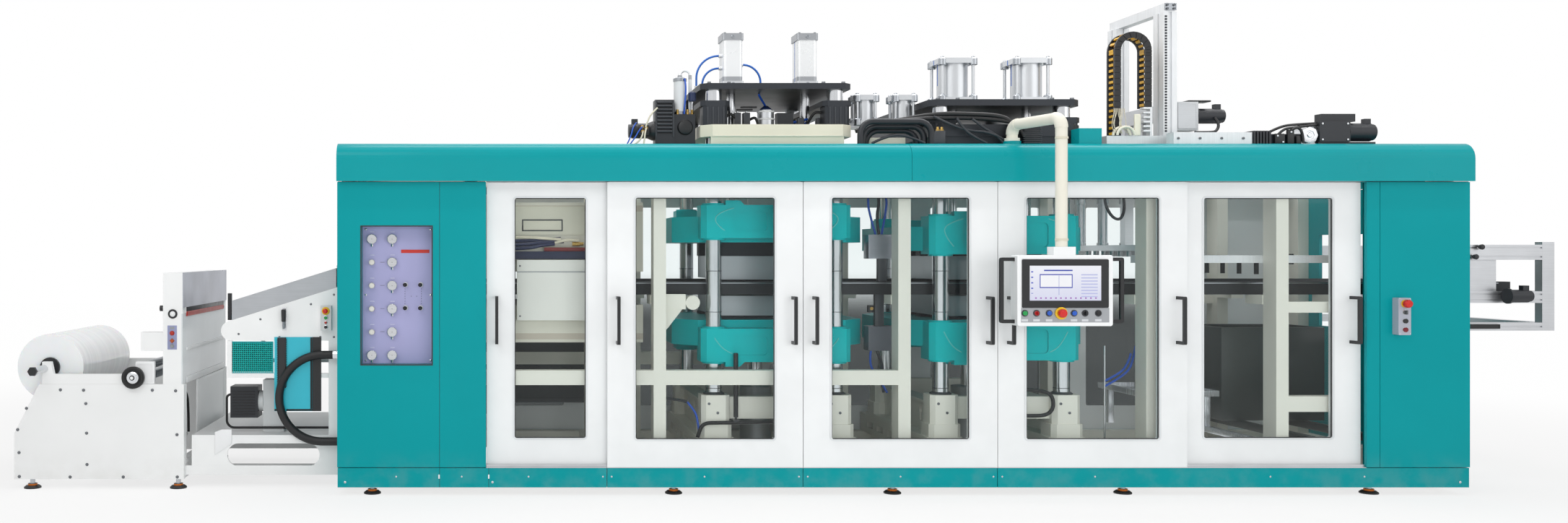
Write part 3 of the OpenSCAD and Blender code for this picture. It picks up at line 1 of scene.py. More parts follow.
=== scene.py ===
import math
import random
import bpy
from mathutils import Matrix, Vector


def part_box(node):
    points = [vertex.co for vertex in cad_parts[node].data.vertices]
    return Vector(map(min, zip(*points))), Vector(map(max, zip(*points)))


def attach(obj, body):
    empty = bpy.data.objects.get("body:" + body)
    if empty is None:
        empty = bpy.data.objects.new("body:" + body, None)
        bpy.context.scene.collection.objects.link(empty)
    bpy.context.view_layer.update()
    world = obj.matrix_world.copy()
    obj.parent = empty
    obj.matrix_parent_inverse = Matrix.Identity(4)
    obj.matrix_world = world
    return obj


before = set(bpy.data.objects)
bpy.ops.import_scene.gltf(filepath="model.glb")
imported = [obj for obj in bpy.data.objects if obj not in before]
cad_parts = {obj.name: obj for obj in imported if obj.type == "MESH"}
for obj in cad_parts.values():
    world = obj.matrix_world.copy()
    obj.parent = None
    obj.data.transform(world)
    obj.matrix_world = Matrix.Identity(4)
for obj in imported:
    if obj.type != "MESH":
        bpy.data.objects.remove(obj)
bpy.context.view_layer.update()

print("frame loaded:", len(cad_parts), "nodes")

# Places
# Lengths along the line run from the cabinet's left edge, depths from the door face, heights from the floor.
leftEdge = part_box("left_column")[0][0]
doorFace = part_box("left_column")[0][1]


def at(x, y, z):
    return Vector((leftEdge + x, doorFace + y, z))


def boxOf(name):
    low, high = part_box(name)
    return Vector(low), Vector(high)


# Camera
camera = {"x": 1.026, "y": -8.0, "z": 1.546, "lens": 28.82, "shiftX": 0.1823, "shiftY": -0.0055}

cameraData = bpy.data.cameras.new("camera")
cameraData.lens = camera["lens"]
cameraData.sensor_width = 36
cameraData.shift_x = camera["shiftX"]
cameraData.shift_y = camera["shiftY"]
cameraData.clip_end = 60
cameraObject = bpy.data.objects.new("camera", cameraData)
bpy.context.collection.objects.link(cameraObject)
cameraObject.location = at(camera["x"], camera["y"], camera["z"])
cameraObject.rotation_euler = (math.radians(90), 0, 0)
bpy.context.scene.camera = cameraObject


# Shader helpers
def tone(code):
    parts = [int(code[i:i + 2], 16) / 255 for i in (1, 3, 5)]
    return tuple(c / 12.92 if c <= 0.04045 else ((c + 0.055) / 1.055) ** 2.4 for c in parts) + (1.0,)


class Wire:
    def __init__(self, tree, out=None):
        self.tree = tree
        self.out = out

    def node(self, kind, settings=None, sockets=None, out=0):
        made = self.tree.nodes.new(kind)
        for key, value in (settings or {}).items():
            if key == "stops":
                while len(made.color_ramp.elements) < len(value):
                    made.color_ramp.elements.new(0.5)
                for element, (place, colour) in zip(made.color_ramp.elements, value):
                    element.position = place
                    element.color = colour
            else:
                setattr(made, key, value)
        for key, value in (sockets or {}).items():
            if isinstance(value, Wire):
                self.tree.links.new(value.out, made.inputs[key])
            else:
                made.inputs[key].default_value = value
        return Wire(self.tree, made.outputs[out] if len(made.outputs) else None)

    def maths(self, operation, first, second=0.0):
        return self.node("ShaderNodeMath", {"operation": operation}, {0: first, 1: second})

    def __add__(self, other):
        return self.maths("ADD", self, other)

    __radd__ = __add__

    def __sub__(self, other):
        return self.maths("SUBTRACT", self, other)

    def __rsub__(self, other):
        return self.maths("SUBTRACT", other, self)

    def __mul__(self, other):
        return self.maths("MULTIPLY", self, other)

    __rmul__ = __mul__

    def __truediv__(self, other):
        return self.maths("DIVIDE", self, other)

    def __gt__(self, other):
        return self.maths("GREATER_THAN", self, other)

    def __lt__(self, other):
        return self.maths("LESS_THAN", self, other)

    def most(self, other):
        return self.maths("MAXIMUM", self, other)

    def between(self, low, high):
        return (self > low) * (self < high)

    def curved(self, power):
        return self.maths("POWER", self, power)

    def size(self):
        return self.maths("ABSOLUTE", self)

    def wave(self):
        return self.maths("SINE", self)

    def soft(self, low, high, first=0.0, last=1.0):
        return self.node("ShaderNodeMapRange", {"interpolation_type": "SMOOTHSTEP"},
                         {"Value": self, "From Min": low, "From Max": high, "To Min": first, "To Max": last})

    def blend(self, first, second):
        return self.node("ShaderNodeMix", {"data_type": "RGBA"}, {0: self, 6: first, 7: second}, out=2)


def startFinish(name):
    made = bpy.data.materials.new(name)
    made.use_nodes = True
    made.node_tree.nodes.clear()
    wire = Wire(made.node_tree)
    place = wire.node("ShaderNodeTexCoord", out="Object")
    return made, wire, place


def axes(wire, place):
    split = wire.node("ShaderNodeSeparateXYZ", None, {0: place})
    node = split.out.node
    return split, Wire(wire.tree, node.outputs[1]), Wire(wire.tree, node.outputs[2])


def noise(wire, place, scale, detail=2.0, rough=0.5):
    return wire.node("ShaderNodeTexNoise", None, {"Vector": place, "Scale": scale, "Detail": detail,
                                                  "Roughness": rough}, out="Fac")


def stretched(wire, place, x, y, z):
    return wire.node("ShaderNodeMapping", None, {"Vector": place, "Scale": (x, y, z)})


def closeFinish(made, wire, colour, rough, height=None, metallic=0.0, bump=0.1, depth=0.001, **fixed):
    sockets = {"Base Color": colour, "Roughness": rough, "Metallic": metallic}
    sockets.update(fixed)
    if height is not None:
        sockets["Normal"] = wire.node("ShaderNodeBump", None,
                                      {"Height": height, "Strength": bump, "Distance": depth})
    shader = wire.node("ShaderNodeBsdfPrincipled", None, sockets)
    wire.node("ShaderNodeOutputMaterial", None, {"Surface": shader})
    return made


def scaled(colour, by):
    return tuple(min(1.0, c * by) for c in colour[:3]) + (1.0,)


# Powder coat: fine peel, faint cloudiness, a little dust near the floor
def powderCoat(name, code, rough=0.42, peel=0.12, dust=0.12, cloud=0.018, shine=0.5, coat=0.0):
    made, wire, place = startFinish(name)
    x, y, z = axes(wire, place)
    base = tone(code)
    clouds = noise(wire, place, 1.7, 3).soft(0.3, 0.7)
    fine = noise(wire, place, 240, 3)
    colour = clouds.blend(scaled(base, 1 - cloud), scaled(base, 1 + cloud))
    low = z.soft(0.02, 0.32, dust, 0.0) * noise(wire, place, 9, 4).soft(0.35, 0.75)
    colour = low.blend(colour, tone("#a8a49a"))
    roughness = noise(wire, place, 5, 4) * 0.16 + (rough - 0.08) + low * 0.3
    return closeFinish(made, wire, colour, roughness, fine, bump=peel, depth=0.0006,
                       **{"Specular IOR Level": shine, "Coat Weight": coat, "Coat Roughness": 0.1})


# Plain moulded plastic with a fine grain
def moulded(name, code, rough=0.45, grain=0.15, size=420):
    made, wire, place = startFinish(name)
    base = tone(code)
    cells = wire.node("ShaderNodeTexVoronoi", None, {"Vector": place, "Scale": size}, out="Distance")
    clouds = noise(wire, place, 14, 3)
    colour = clouds.blend(scaled(base, 0.86), scaled(base, 1.14))
    roughness = noise(wire, place, 30, 3) * 0.2 + (rough - 0.1)
    return closeFinish(made, wire, colour, roughness, cells, bump=grain, depth=0.0004)


# Rolled, drawn or ground metal with fine lines along one axis
def lined(name, code, rough=0.3, along="x", line=0.25, metallic=1.0, cloud=0.08):
    made, wire, place = startFinish(name)
    base = tone(code)
    scale = {"x": (3, 260, 260), "y": (260, 3, 260), "z": (260, 260, 3)}[along]
    streaks = noise(wire, stretched(wire, place, *scale), 1.0, 4, 0.6)
    clouds = noise(wire, place, 6, 3)
    share = (streaks * 0.6 + clouds * 0.4).soft(0.3, 0.7)
    colour = share.blend(scaled(base, 1 - cloud), scaled(base, 1 + cloud))
    roughness = streaks * 0.22 + clouds * 0.1 + (rough - 0.16)
    return closeFinish(made, wire, colour, roughness, streaks, metallic=metallic, bump=line, depth=0.0004)


def dress(name, material):
    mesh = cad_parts[name].data
    mesh.materials.clear()
    mesh.materials.append(material)


def paint(code, rough, metal=0.0, cloud=0.025):
    return {"code": code, "rough": rough, "metal": metal, "cloud": cloud}


# One body colour, with other finishes where a mask says so
def zoned(name, ground, zones, peel=0.1, shine=0.5):
    made, wire, place = startFinish(name)
    x, y, z = axes(wire, place)
    clouds = noise(wire, place, 3.5, 3).soft(0.3, 0.7)
    fine = noise(wire, place, 230, 3)

    def look(part):
        base, cloud = tone(part["code"]), part["cloud"]
        return clouds.blend(scaled(base, 1 - cloud), scaled(base, 1 + cloud))

    colour, rough, metallic = look(ground), ground["rough"], ground["metal"]
    for inZone, part in zones:
        mask = inZone(x, y, z)
        colour = mask.blend(colour, look(part))
        rough = mask * (part["rough"] - rough) + rough
        metallic = mask * (part["metal"] - metallic) + metallic
    if not isinstance(rough, Wire):
        rough = noise(wire, place, 5, 3) * 0.12 + (rough - 0.06)
    else:
        rough = rough + noise(wire, place, 5, 3) * 0.12 - 0.06
    return closeFinish(made, wire, colour, rough, fine, metallic=metallic, bump=peel, depth=0.0006,
                       **{"Specular IOR Level": shine})


# Stage
stage = {"reach": 60, "floor": "#f6f6f5", "sky": 0.45, "key": 160, "fill": 60, "front": 390, "top": 150,
    "edge": 75, "near": 4.5, "far": 11}


# Which rays see a surface: the camera's, mirrored ones and those through glass
def rays(wire):
    seen = wire.node("ShaderNodeLightPath").out.node
    kinds = ("Is Camera Ray", "Is Glossy Ray", "Is Transmission Ray")
    return [Wire(wire.tree, seen.outputs[kind]) for kind in kinds]


bpy.ops.object.select_all(action="DESELECT")
bpy.ops.mesh.primitive_plane_add(size=stage["reach"], location=(0, 0, 0))
floor = bpy.context.object
floor.name = "floor"
made = bpy.data.materials.new("floorPaper")
made.use_nodes = True
made.node_tree.nodes.clear()
wire = Wire(made.node_tree)
straight, mirrored, through = rays(wire)
paper = wire.node("ShaderNodeBsdfDiffuse", None, {"Color": tone(stage["floor"])}, out="BSDF")
glow = wire.node("ShaderNodeEmission", None, {"Color": (1, 1, 1, 1), "Strength": 1.0}, out="Emission")
spot = wire.node("ShaderNodeTexCoord", out="Object")
spread = wire.node("ShaderNodeVectorMath", {"operation": "LENGTH"}, {0: spot}, out="Value")
share = straight.most(mirrored).most(through) * spread.soft(stage["near"], stage["far"], 0.74, 0.995)
floorLook = wire.node("ShaderNodeMixShader", None, {0: share, 1: paper, 2: glow})
wire.node("ShaderNodeOutputMaterial", None, {"Surface": floorLook})
floor.data.materials.append(made)

world = bpy.data.worlds.new("studio")
bpy.context.scene.world = world
world.use_nodes = True
world.node_tree.nodes.clear()
wire = Wire(world.node_tree)
straight, mirrored, through = rays(wire)
strength = straight.most(through).most(mirrored * 0.8) * (1 - stage["sky"]) + stage["sky"]
sky = wire.node("ShaderNodeBackground", None, {"Color": (1, 1, 1, 1), "Strength": strength})
wire.node("ShaderNodeOutputWorld", None, {"Surface": sky})


def addLamp(name, power, size, place, aim, mirrored=True):
    data = bpy.data.lights.new(name, "AREA")
    data.energy = power
    data.shape = "RECTANGLE"
    data.size, data.size_y = size
    lamp = bpy.data.objects.new(name, data)
    bpy.context.collection.objects.link(lamp)
    lamp.location = place
    lamp.visible_glossy = mirrored
    lamp.rotation_euler = (Vector(aim) - Vector(place)).to_track_quat("-Z", "Y").to_euler()


addLamp("keyLamp", stage["key"], (7, 3), (-5.0, -7.5, 6.5), (0.3, 0, 1.2))
addLamp("fillLamp", stage["fill"], (6, 4), (7.0, -6.0, 4.0), (1.0, 0, 1.2))
addLamp("rearLamp", stage["fill"], (6, 3), (0, 6.5, 6.0), (0, 0, 1.2))
addLamp("frontLamp", stage["front"], (10, 3), (0.5, -10.5, 1.7), (0.5, 0, 1.1), False)
addLamp("edgeLamp", stage["edge"], (12, 0.12), (0.9, -1.55, 5.2), (0.9, -0.7, 2.2))
addLamp("topLamp", stage["top"], (8, 1.6), (0.8, 0.3, 5.2), (0.8, 0.3, 1.0))
bpy.context.scene.view_settings.view_transform = "Standard"

# Finishes of the CAD nodes
teal = powderCoat("cabinetTeal", "#009197", rough=0.34, peel=0.1, shine=0.14)
coverTeal = powderCoat("coverTeal", "#009197", rough=0.3, peel=0.04, shine=0.12, coat=0.15)
cream = powderCoat("frameCream", "#e2e0d6", rough=0.4)
paleGrey = powderCoat("panelWhite", "#e4e6e7", rough=0.38)
white = powderCoat("unwinderWhite", "#e9eaea", rough=0.4)
blackMoulded = moulded("blackMoulded", "#202124", rough=0.4)
rubber = moulded("rubber", "#19191a", rough=0.6, grain=0.3, size=260)
chrome = lined("groundChrome", "#d7d9dc", rough=0.16, along="z", line=0.05)
aluminium = lined("drawnAluminium", "#c9cbce", rough=0.34, along="x", line=0.15)

for name in ("skirt_panels", "left_column", "right_column"):
    dress(name, teal)
dress("roof_covers", coverTeal)
for name in ("base_frame", "guard_posts", "pillar_feet"):
    dress(name, cream)
dress("rear_panels", paleGrey)
dress("door_tracks", aluminium)
dress("pillars", chrome)

rollLow, rollHigh = boxOf("film_roll")
rollAxis = (rollLow + rollHigh) / 2
wheelLow, wheelHigh = boxOf("guide_wheel")
wheelAxis = (wheelLow + wheelHigh) / 2
plain = {"white": paint("#e4e6e7", 0.38), "black": paint("#1d1e20", 0.42), "steel": paint("#b9bcc0", 0.3, 1.0),
    "chrome": paint("#d7d9dc", 0.16, 1.0), "teal": paint("#00b2b5", 0.4), "dark": paint("#2c2f34", 0.45, 0.3),
    "copper": paint("#b8692f", 0.35, 0.8), "red": paint("#c22a1f", 0.35), "beige": paint("#dcd6c3", 0.45),
    "tool": paint("#aeb2b6", 0.38, 0.75), "blue": paint("#1f5fb4", 0.35), "yellow": paint("#d9a514", 0.4),
    "cyan": paint("#2fb3c6", 0.3)}


def around(x, z, axis):
    across = x - axis.x
    up = z - axis.z
    return (across * across + up * up).curved(0.5)


# Leaves: the handles stand in front of the leaf face and are black, the window rim is a softer grey
def leafFinish(name, face):
    return zoned(name, plain["white"], [
        (lambda x, y, z: y.between(face - 0.0042, face - 0.0001), paint("#d5d8da", 0.5)),
        (lambda x, y, z: y < face - 0.0046, plain["black"])], peel=0.08)


outerLeaf = leafFinish("outerLeaf", doorFace)
innerLeaf = leafFinish("innerLeaf", doorFace + 0.052)
for number in (1, 2, 3, 4, 5):
    dress("door_%d" % number, innerLeaf if number in (1, 5) else outerLeaf)


# Clear panes: mostly see-through, with a sharp sheen that grows at a slant and a trace of haze
def clearPane(name, tint, haze=0.05, smoke=None):
    made, wire, place = startFinish(name)
    smear = noise(wire, stretched(wire, place, 1.2, 1.2, 2.6), 1.4, 4).soft(0.42, 0.75)
    gloss = wire.node("ShaderNodeBsdfGlossy", None, {"Color": (1, 1, 1, 1), "Roughness": 0.03}, out="BSDF")
    clear = wire.node("ShaderNodeBsdfTransparent", None, {"Color": tone(tint)}, out="BSDF")
    film = wire.node("ShaderNodeBsdfDiffuse", None, {"Color": tone("#dfe6e8")}, out="BSDF")
    if smoke:
        dark = wire.node("ShaderNodeBsdfTransparent", None, {"Color": tone("#4a4f50")}, out="BSDF")
        x, y, z = axes(wire, place)
        share = z.soft(smoke[0], smoke[1], 0, smoke[2])
        clear = wire.node("ShaderNodeMixShader", None, {0: share, 1: clear, 2: dark})
    slant = wire.node("ShaderNodeFresnel", None, {"IOR": 1.45}, out="Fac")
    body = wire.node("ShaderNodeMixShader", None, {0: smear * haze, 1: clear, 2: film})
    look = wire.node("ShaderNodeMixShader", None, {0: slant * 0.3, 1: body, 2: gloss})
    wire.node("ShaderNodeOutputMaterial", None, {"Surface": look})
    return made


doorPane = clearPane("doorPane", "#fbfdfd", haze=0.006)
for number in (1, 2, 3, 4, 5):
    dress("door_%d_window" % number, doorPane)
dress("rear_windows", clearPane("rearPane", "#fbfdfd", haze=0.01, smoke=(1.42, 1.0, 0.8)))

dress("levelling_feet", zoned("footFinish", plain["black"], [
    (lambda x, y, z: z.between(0.0182, 0.0299), plain["copper"]),
    (lambda x, y, z: z > 0.0301, plain["steel"])]))
dress("gauge_panel", zoned("gaugePanelFinish", paint("#a5a4cd", 0.45), [
    (lambda x, y, z: y < doorFace + 0.1379, plain["red"])]))
dress("pressure_gauges", zoned("gaugeFinish", plain["steel"], [
    (lambda x, y, z: y < doorFace + 0.1079, paint("#f1f1ee", 0.5))], peel=0.03))
dress("regulator_knobs", lined("knobSilver", "#d8d6cf", rough=0.34, along="y", line=0.1, metallic=0.35))
dress("valve_levers", zoned("leverFinish", paint("#141415", 0.25), [
    (lambda x, y, z: y > doorFace + 0.098, plain["steel"])]))

dress("hmi_arm", powderCoat("armBeige", "#dfdccf", rough=0.48))
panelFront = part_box("hmi_green_button")[0][1] + 0.014
panelAxis = (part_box("hmi_panel")[0][0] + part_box("hmi_panel")[1][0]) / 2
dress("hmi_panel", zoned("panelFinish", paint("#e6e8e9", 0.36), [
    (lambda x, y, z: y < panelFront - 0.0001, plain["black"]),
    (lambda x, y, z: (x - panelAxis).size() > 0.2891, plain["black"])]))

for name, code in (("hmi_stop_button", "#c32018"), ("hmi_green_button", "#178f45"),
                   ("hmi_left_blue_button", "#1e55b8"), ("hmi_right_blue_button", "#1e55b8"),
                   ("hmi_black_button", "#17181a"), ("hmi_selector", "#1b1c1e"), ("hmi_key_switch", "#a81c1c"),
                   ("side_stop_button", "#c32018"), ("side_selector", "#55585b")):
    dress(name, moulded(name + "Cap", code, rough=0.28, grain=0.05))
dress("side_station", zoned("sideStationFinish", paint("#a9acb8", 0.38), [
    (lambda x, y, z: (y < doorFace - 0.0551) * (z > 1.09), plain["black"]),
    (lambda x, y, z: (y < doorFace - 0.0551) * (z < 1.09), paint("#6d0f1e", 0.3))], peel=0.04))

dress("crossheads", zoned("crossheadFinish", paint("#34373c", 0.45, 0.5), [
    (lambda x, y, z: (z < 2.3841) * (x < leftEdge + 3.6), plain["beige"])]))

hair = 0.0001   # a mask ends this far off the face it stops at
upperRods, lowerRods = (doorFace + 0.44, doorFace + 0.56), (doorFace + 0.84, doorFace + 0.96)


# A platen: teal casting, dark clamp bars, pale tool block, ground rods
def platenFinish(name, wing, bar, rod, upper):
    inside = lambda y: y.between(doorFace + 0.45, doorFace + 1.35)
    if upper:
        zones = [(lambda x, y, z: inside(y) * (z < wing - hair), plain["dark"]),
                 (lambda x, y, z: inside(y) * (z < bar - hair), plain["tool"]),
                 (lambda x, y, z: y.between(*upperRods) * (z > rod + hair), plain["chrome"])]
    else:
        zones = [(lambda x, y, z: inside(y) * (z > wing + hair), plain["dark"]),
                 (lambda x, y, z: inside(y) * (z > bar + hair), plain["tool"]),
                 (lambda x, y, z: y.between(*lowerRods) * (z < rod - hair), plain["chrome"])]
    return zoned(name, plain["teal"], zones, peel=0.18, shine=0.15)


for name, wing, bar, rod in (("station_1_upper_platen", 1.616, 1.5241, 1.86),
                             ("station_2_upper_platen", 1.56, 1.5241, 1.789),
                             ("station_1_lower_platen", 1.099, 1.1231, 0.9279),
                             ("station_2_lower_platen", 1.096, 1.1201, 0.9259)):
    dress(name, platenFinish(name + "Finish", wing, bar, rod, "upper" in name))

hoseRow = doorFace + 0.5
dress("press_cylinders", zoned("cylinderFinish", paint("#d0d3d6", 0.3, 0.85), [
    (lambda x, y, z: ((y - hoseRow).size() < 0.0075) * (z > 2.6742)
        * ((x < leftEdge + 2.5178) + (x > leftEdge + 2.6822)), plain["blue"]),
    (lambda x, y, z: (x < leftEdge + 2.3155) * (z > 2.462), paint("#d3d6d8", 0.3)),
    (lambda x, y, z: (z > 2.6981) * (x < leftEdge + 3.3) * ((y - hoseRow).size() > 0.0076),
     paint("#eceeef", 0.28, 0.6)),
    (lambda x, y, z: (z > 2.9719) * (x < leftEdge + 3.3), paint("#a9acb0", 0.34, 0.9)),
    (lambda x, y, z: z.between(2.6985, 2.728) * (x < leftEdge + 3.3) * ((y - hoseRow).size() > 0.0076),
     paint("#a9acb0", 0.34, 0.9)),
    (lambda x, y, z: z < 0.62, paint("#b9bcc0", 0.35, 0.8))], peel=0.03))
dress("heaters", zoned("heaterFinish", paint("#dddacd", 0.5), [
    (lambda x, y, z: z.between(1.8205, 1.8611) + z.between(0.971, 1.0112), paint("#c7beb0", 0.6)),
    (lambda x, y, z: y < doorFace + 0.3519, paint("#e3e2dc", 0.42))]))
dress("transport_rails", lined("railBlack", "#2b2d30", rough=0.45, along="x", metallic=0.4))
dress("stacker_tower", lined("towerProfile", "#d9dbdd", rough=0.42, along="z", line=0.2, metallic=0.35))
dress("stacker_carriage", aluminium)
dress("pick_arm", moulded("pickBlack", "#1f2124", rough=0.42))
towerFace = leftEdge + 5.515
dress("drive_motors", zoned("motorFinish", paint("#1e2126", 0.42), [
    (lambda x, y, z: x.between(leftEdge - 0.5921, leftEdge - 0.4199) * (z < 0.75), paint("#c9cccd", 0.42)),
    (lambda x, y, z: x.between(towerFace, towerFace + 0.1453) * (z > 2.33), paint("#c3c6c8", 0.4)),
    (lambda x, y, z: x.between(leftEdge + 6.215, leftEdge + 6.3278), paint("#b4b7ba", 0.35, 0.8))]))
dress("cable_chain", zoned("chainFinish", paint("#19191b", 0.48), [
    (lambda x, y, z: y.between(doorFace + 0.334, doorFace + 0.392), plain["yellow"])], peel=0.05))
dress("unwinder_frame", white)
dress("unwinder_cabinet", zoned("columnFinish", paint("#e9eaea", 0.4), [
    (lambda x, y, z: x > leftEdge - 1.0479, paint("#a5a7b1", 0.3, 0.55, 0.12)),
    (lambda x, y, z: x.between(leftEdge - 1.0561, leftEdge - 1.0479) * (z < 1.146), paint("#d3d7da", 0.2)),
    (lambda x, y, z: (x < leftEdge - 1.1771) * (z > 1.15), plain["black"])]))
dress("guide_wheel", zoned("wheelFinish", plain["chrome"], [
    (lambda x, y, z: around(x, z, wheelAxis) > 0.0385, paint("#141415", 0.5)),
    (lambda x, y, z: around(x, z, wheelAxis) < 0.017, plain["black"])]))
dress("mandrel", zoned("mandrelFinish", plain["chrome"], [
    (lambda x, y, z: (around(x, z, rollAxis) > 0.0255).most(y < doorFace + 0.0605), plain["black"])]))
serviceFace = doorFace + 0.29995
inService = lambda x, y, low, high: x.between(leftEdge + low, leftEdge + high) * (y < serviceFace)
dress("infeed_frame", zoned("infeedFinish", paint("#e9eaea", 0.4), [
    (lambda x, y, z: inService(x, y, -0.4535, -0.2009), plain["cyan"]),
    (lambda x, y, z: inService(x, y, -0.2008, -0.1431), plain["black"]),
    (lambda x, y, z: inService(x, y, -0.1430, -0.0719), paint("#c9cbcc", 0.4)),
    (lambda x, y, z: inService(x, y, -0.40, -0.374) * (z > 1.05), plain["black"])]))
dress("infeed_cover", lined("coverGrey", "#aeb1b5", rough=0.38, along="x", metallic=0.6))
dress("infeed_hose", zoned("hoseFinish", paint("#161618", 0.5), [
    (lambda x, y, z: (x > leftEdge - 0.0599) * (z > 0.8), plain["chrome"])]))
dress("outfeed_frame", aluminium)


# Wound film: fine rings on the ends, soft bands along the face, milky with a little light coming through
def woundFilm(name):
    made, wire, place = startFinish(name)
    x, y, z = axes(wire, place)
    radius = around(x, z, rollAxis)
    rings = noise(wire, wire.node("ShaderNodeCombineXYZ", None, {0: radius * 900}), 1.0, 3)
    bands = noise(wire, stretched(wire, place, 0.4, 26, 0.4), 1.0, 4)
    onEnd = (y - rollAxis.y).size() > (rollHigh.y - rollAxis.y - 0.0005)
    pattern = onEnd * rings + (1 - onEnd) * bands
    colour = pattern.soft(0.25, 0.75).blend(tone("#e3e6e8"), tone("#f3f5f6"))
    rough = (1 - onEnd) * 0.16 + onEnd * 0.42
    return closeFinish(made, wire, colour, rough, pattern, bump=0.05, depth=0.0008,
                       **{"Subsurface Weight": 0.25, "Subsurface Scale": 0.03, "Coat Weight": 0.35})


dress("film_roll", woundFilm("woundFilm"))
print("finishes on the CAD nodes")

# Modelling helpers
alongAxis = {"x": Vector((1, 0, 0)), "y": Vector((0, 1, 0)), "z": Vector((0, 0, 1))}
facing = {"x": (0, math.radians(90), 0), "y": (math.radians(-90), 0, 0), "z": (0, 0, 0)}


def pickFaces(piece, test):
    bpy.ops.object.mode_set(mode="EDIT")
    bpy.ops.mesh.select_mode(type="FACE")
    bpy.ops.mesh.select_all(action="DESELECT")
    bpy.ops.object.mode_set(mode="OBJECT")
    for face in piece.data.polygons:
        face.select = test(piece.matrix_world @ face.center, face.normal)
    bpy.ops.object.mode_set(mode="EDIT")


def facesFront(centre, normal):
    return normal.y < -0.9


# Sets the picked faces in by a border, and pushes them back or forward
def setIn(piece, test, border, push=None):
    pickFaces(piece, test)
    bpy.ops.mesh.inset(thickness=border)
    if push:
        bpy.ops.mesh.extrude_region_move(TRANSFORM_OT_translate={"value": push})
    bpy.ops.object.mode_set(mode="OBJECT")


def roundEdges(piece, edge, segments=2):
    rounding = piece.modifiers.new("rounding", "BEVEL")
    rounding.width = edge
    rounding.segments = segments
    bpy.ops.object.modifier_apply(modifier=rounding.name)


# Cuts off what lies beyond each plane, given as a point and a direction, from the active piece
def cutOff(*planes):
    bpy.ops.object.mode_set(mode="EDIT")
    for place, way in planes:
        bpy.ops.mesh.select_all(action="SELECT")
        bpy.ops.mesh.bisect(plane_co=place, plane_no=way, clear_outer=True, use_fill=True)
    bpy.ops.object.mode_set(mode="OBJECT")


# A block between two corners, with its edges rounded
def block(low, high, edge=0.002, segments=2):
    bpy.ops.object.select_all(action="DESELECT")
    low, high = Vector(low), Vector(high)
    bpy.ops.mesh.primitive_cube_add(size=1, location=(low + high) / 2)
    piece = bpy.context.object
    piece.scale = high - low
    bpy.ops.object.transform_apply(location=True, rotation=True, scale=True)
    if edge:
        roundEdges(piece, edge, segments)
    return piece


# A block whose front is set in by a border and pushed back or forward
def framed(low, high, border, push, edge=0.002, front=(0, -1, 0)):
    piece = block(low, high, edge)
    way = Vector(front)
    best = max((piece.matrix_world @ f.center).dot(way) for f in piece.data.polygons)
    setIn(piece, lambda c, n: n.dot(way) > 0.99 and c.dot(way) > best - 0.0001, border, way * push)
    return piece


# A turned piece: a disc drawn out along its axis through (distance, radius) steps
def turned(place, axis, steps, sides=32):
    bpy.ops.object.select_all(action="DESELECT")
    way = alongAxis[axis]
    start = Vector(place)
    bpy.ops.mesh.primitive_circle_add(vertices=sides, radius=steps[0][1], fill_type="NGON",
                                      location=start + way * steps[0][0], rotation=facing[axis])
    piece = bpy.context.object
    bpy.ops.object.mode_set(mode="EDIT")
    bpy.ops.mesh.select_all(action="SELECT")
    for (before, wide), (after, narrow) in zip(steps, steps[1:]):
        bpy.ops.mesh.extrude_region_move(TRANSFORM_OT_translate={"value": way * (after - before)})
        share = narrow / wide
        if share != 1:
            bpy.ops.transform.resize(value=(share, share, share), center_override=start + way * after)
    bpy.ops.object.mode_set(mode="OBJECT")
    bpy.ops.object.transform_apply(location=True, rotation=True, scale=True)
    return piece


# A round tube that follows points, with its bends eased
def tubeAlong(points, radius, sides):
    bpy.ops.object.select_all(action="DESELECT")
    bpy.ops.curve.primitive_nurbs_path_add(location=points[0])
    piece = bpy.context.object
    bpy.ops.object.mode_set(mode="EDIT")
    bpy.ops.curve.select_all(action="SELECT")
    bpy.ops.curve.delete(type="VERT")
    bpy.ops.object.mode_set(mode="OBJECT")
    route = piece.data.splines.new("NURBS")
    route.points.add(len(points) - 1)
    for point, place in zip(route.points, points):
        point.co = (*(Vector(place) - Vector(points[0])), 1)
    route.use_endpoint_u = True
    route.order_u = 3
    piece.data.resolution_u = 6
    piece.data.bevel_depth = radius
    piece.data.bevel_resolution = sides
    piece.data.use_fill_caps = True
    bpy.ops.object.select_all(action="DESELECT")
    piece.select_set(True)
    bpy.context.view_layer.objects.active = piece
    bpy.ops.object.convert(target="MESH")
    return bpy.context.object


def copied(piece, shift):
    twin = piece.copy()
    twin.data = piece.data.copy()
    bpy.context.collection.objects.link(twin)
    twin.data.transform(Matrix.Translation(Vector(shift)))
    return twin


def joined(pieces):
    bpy.ops.object.select_all(action="DESELECT")
    for piece in pieces:
        piece.select_set(True)
    bpy.context.view_layer.objects.active = pieces[0]
    if len(pieces) > 1:
        bpy.ops.object.join()
    return bpy.context.object


# Names a piece or a list of them as one mesh, set out at its places, with its finish and body
def add(name, made, material, places=None, body="frame", angle=40):
    pieces = made if isinstance(made, list) else [made]
    if places:
        pieces += [copied(made, place) for place in places[1:]]
        made.data.transform(Matrix.Translation(Vector(places[0])))
    piece = joined(pieces)
    piece.name = name
    bpy.ops.object.transform_apply(location=True, rotation=True, scale=True)
    bpy.ops.object.mode_set(mode="EDIT")
    bpy.ops.mesh.select_all(action="SELECT")
    bpy.ops.mesh.remove_doubles(threshold=0.00001)
    bpy.ops.mesh.normals_make_consistent(inside=False)
    bpy.ops.object.mode_set(mode="OBJECT")
    bpy.ops.object.shade_smooth_by_angle(angle=math.radians(angle))
    piece.data.materials.clear()
    piece.data.materials.append(material)
    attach(piece, body)


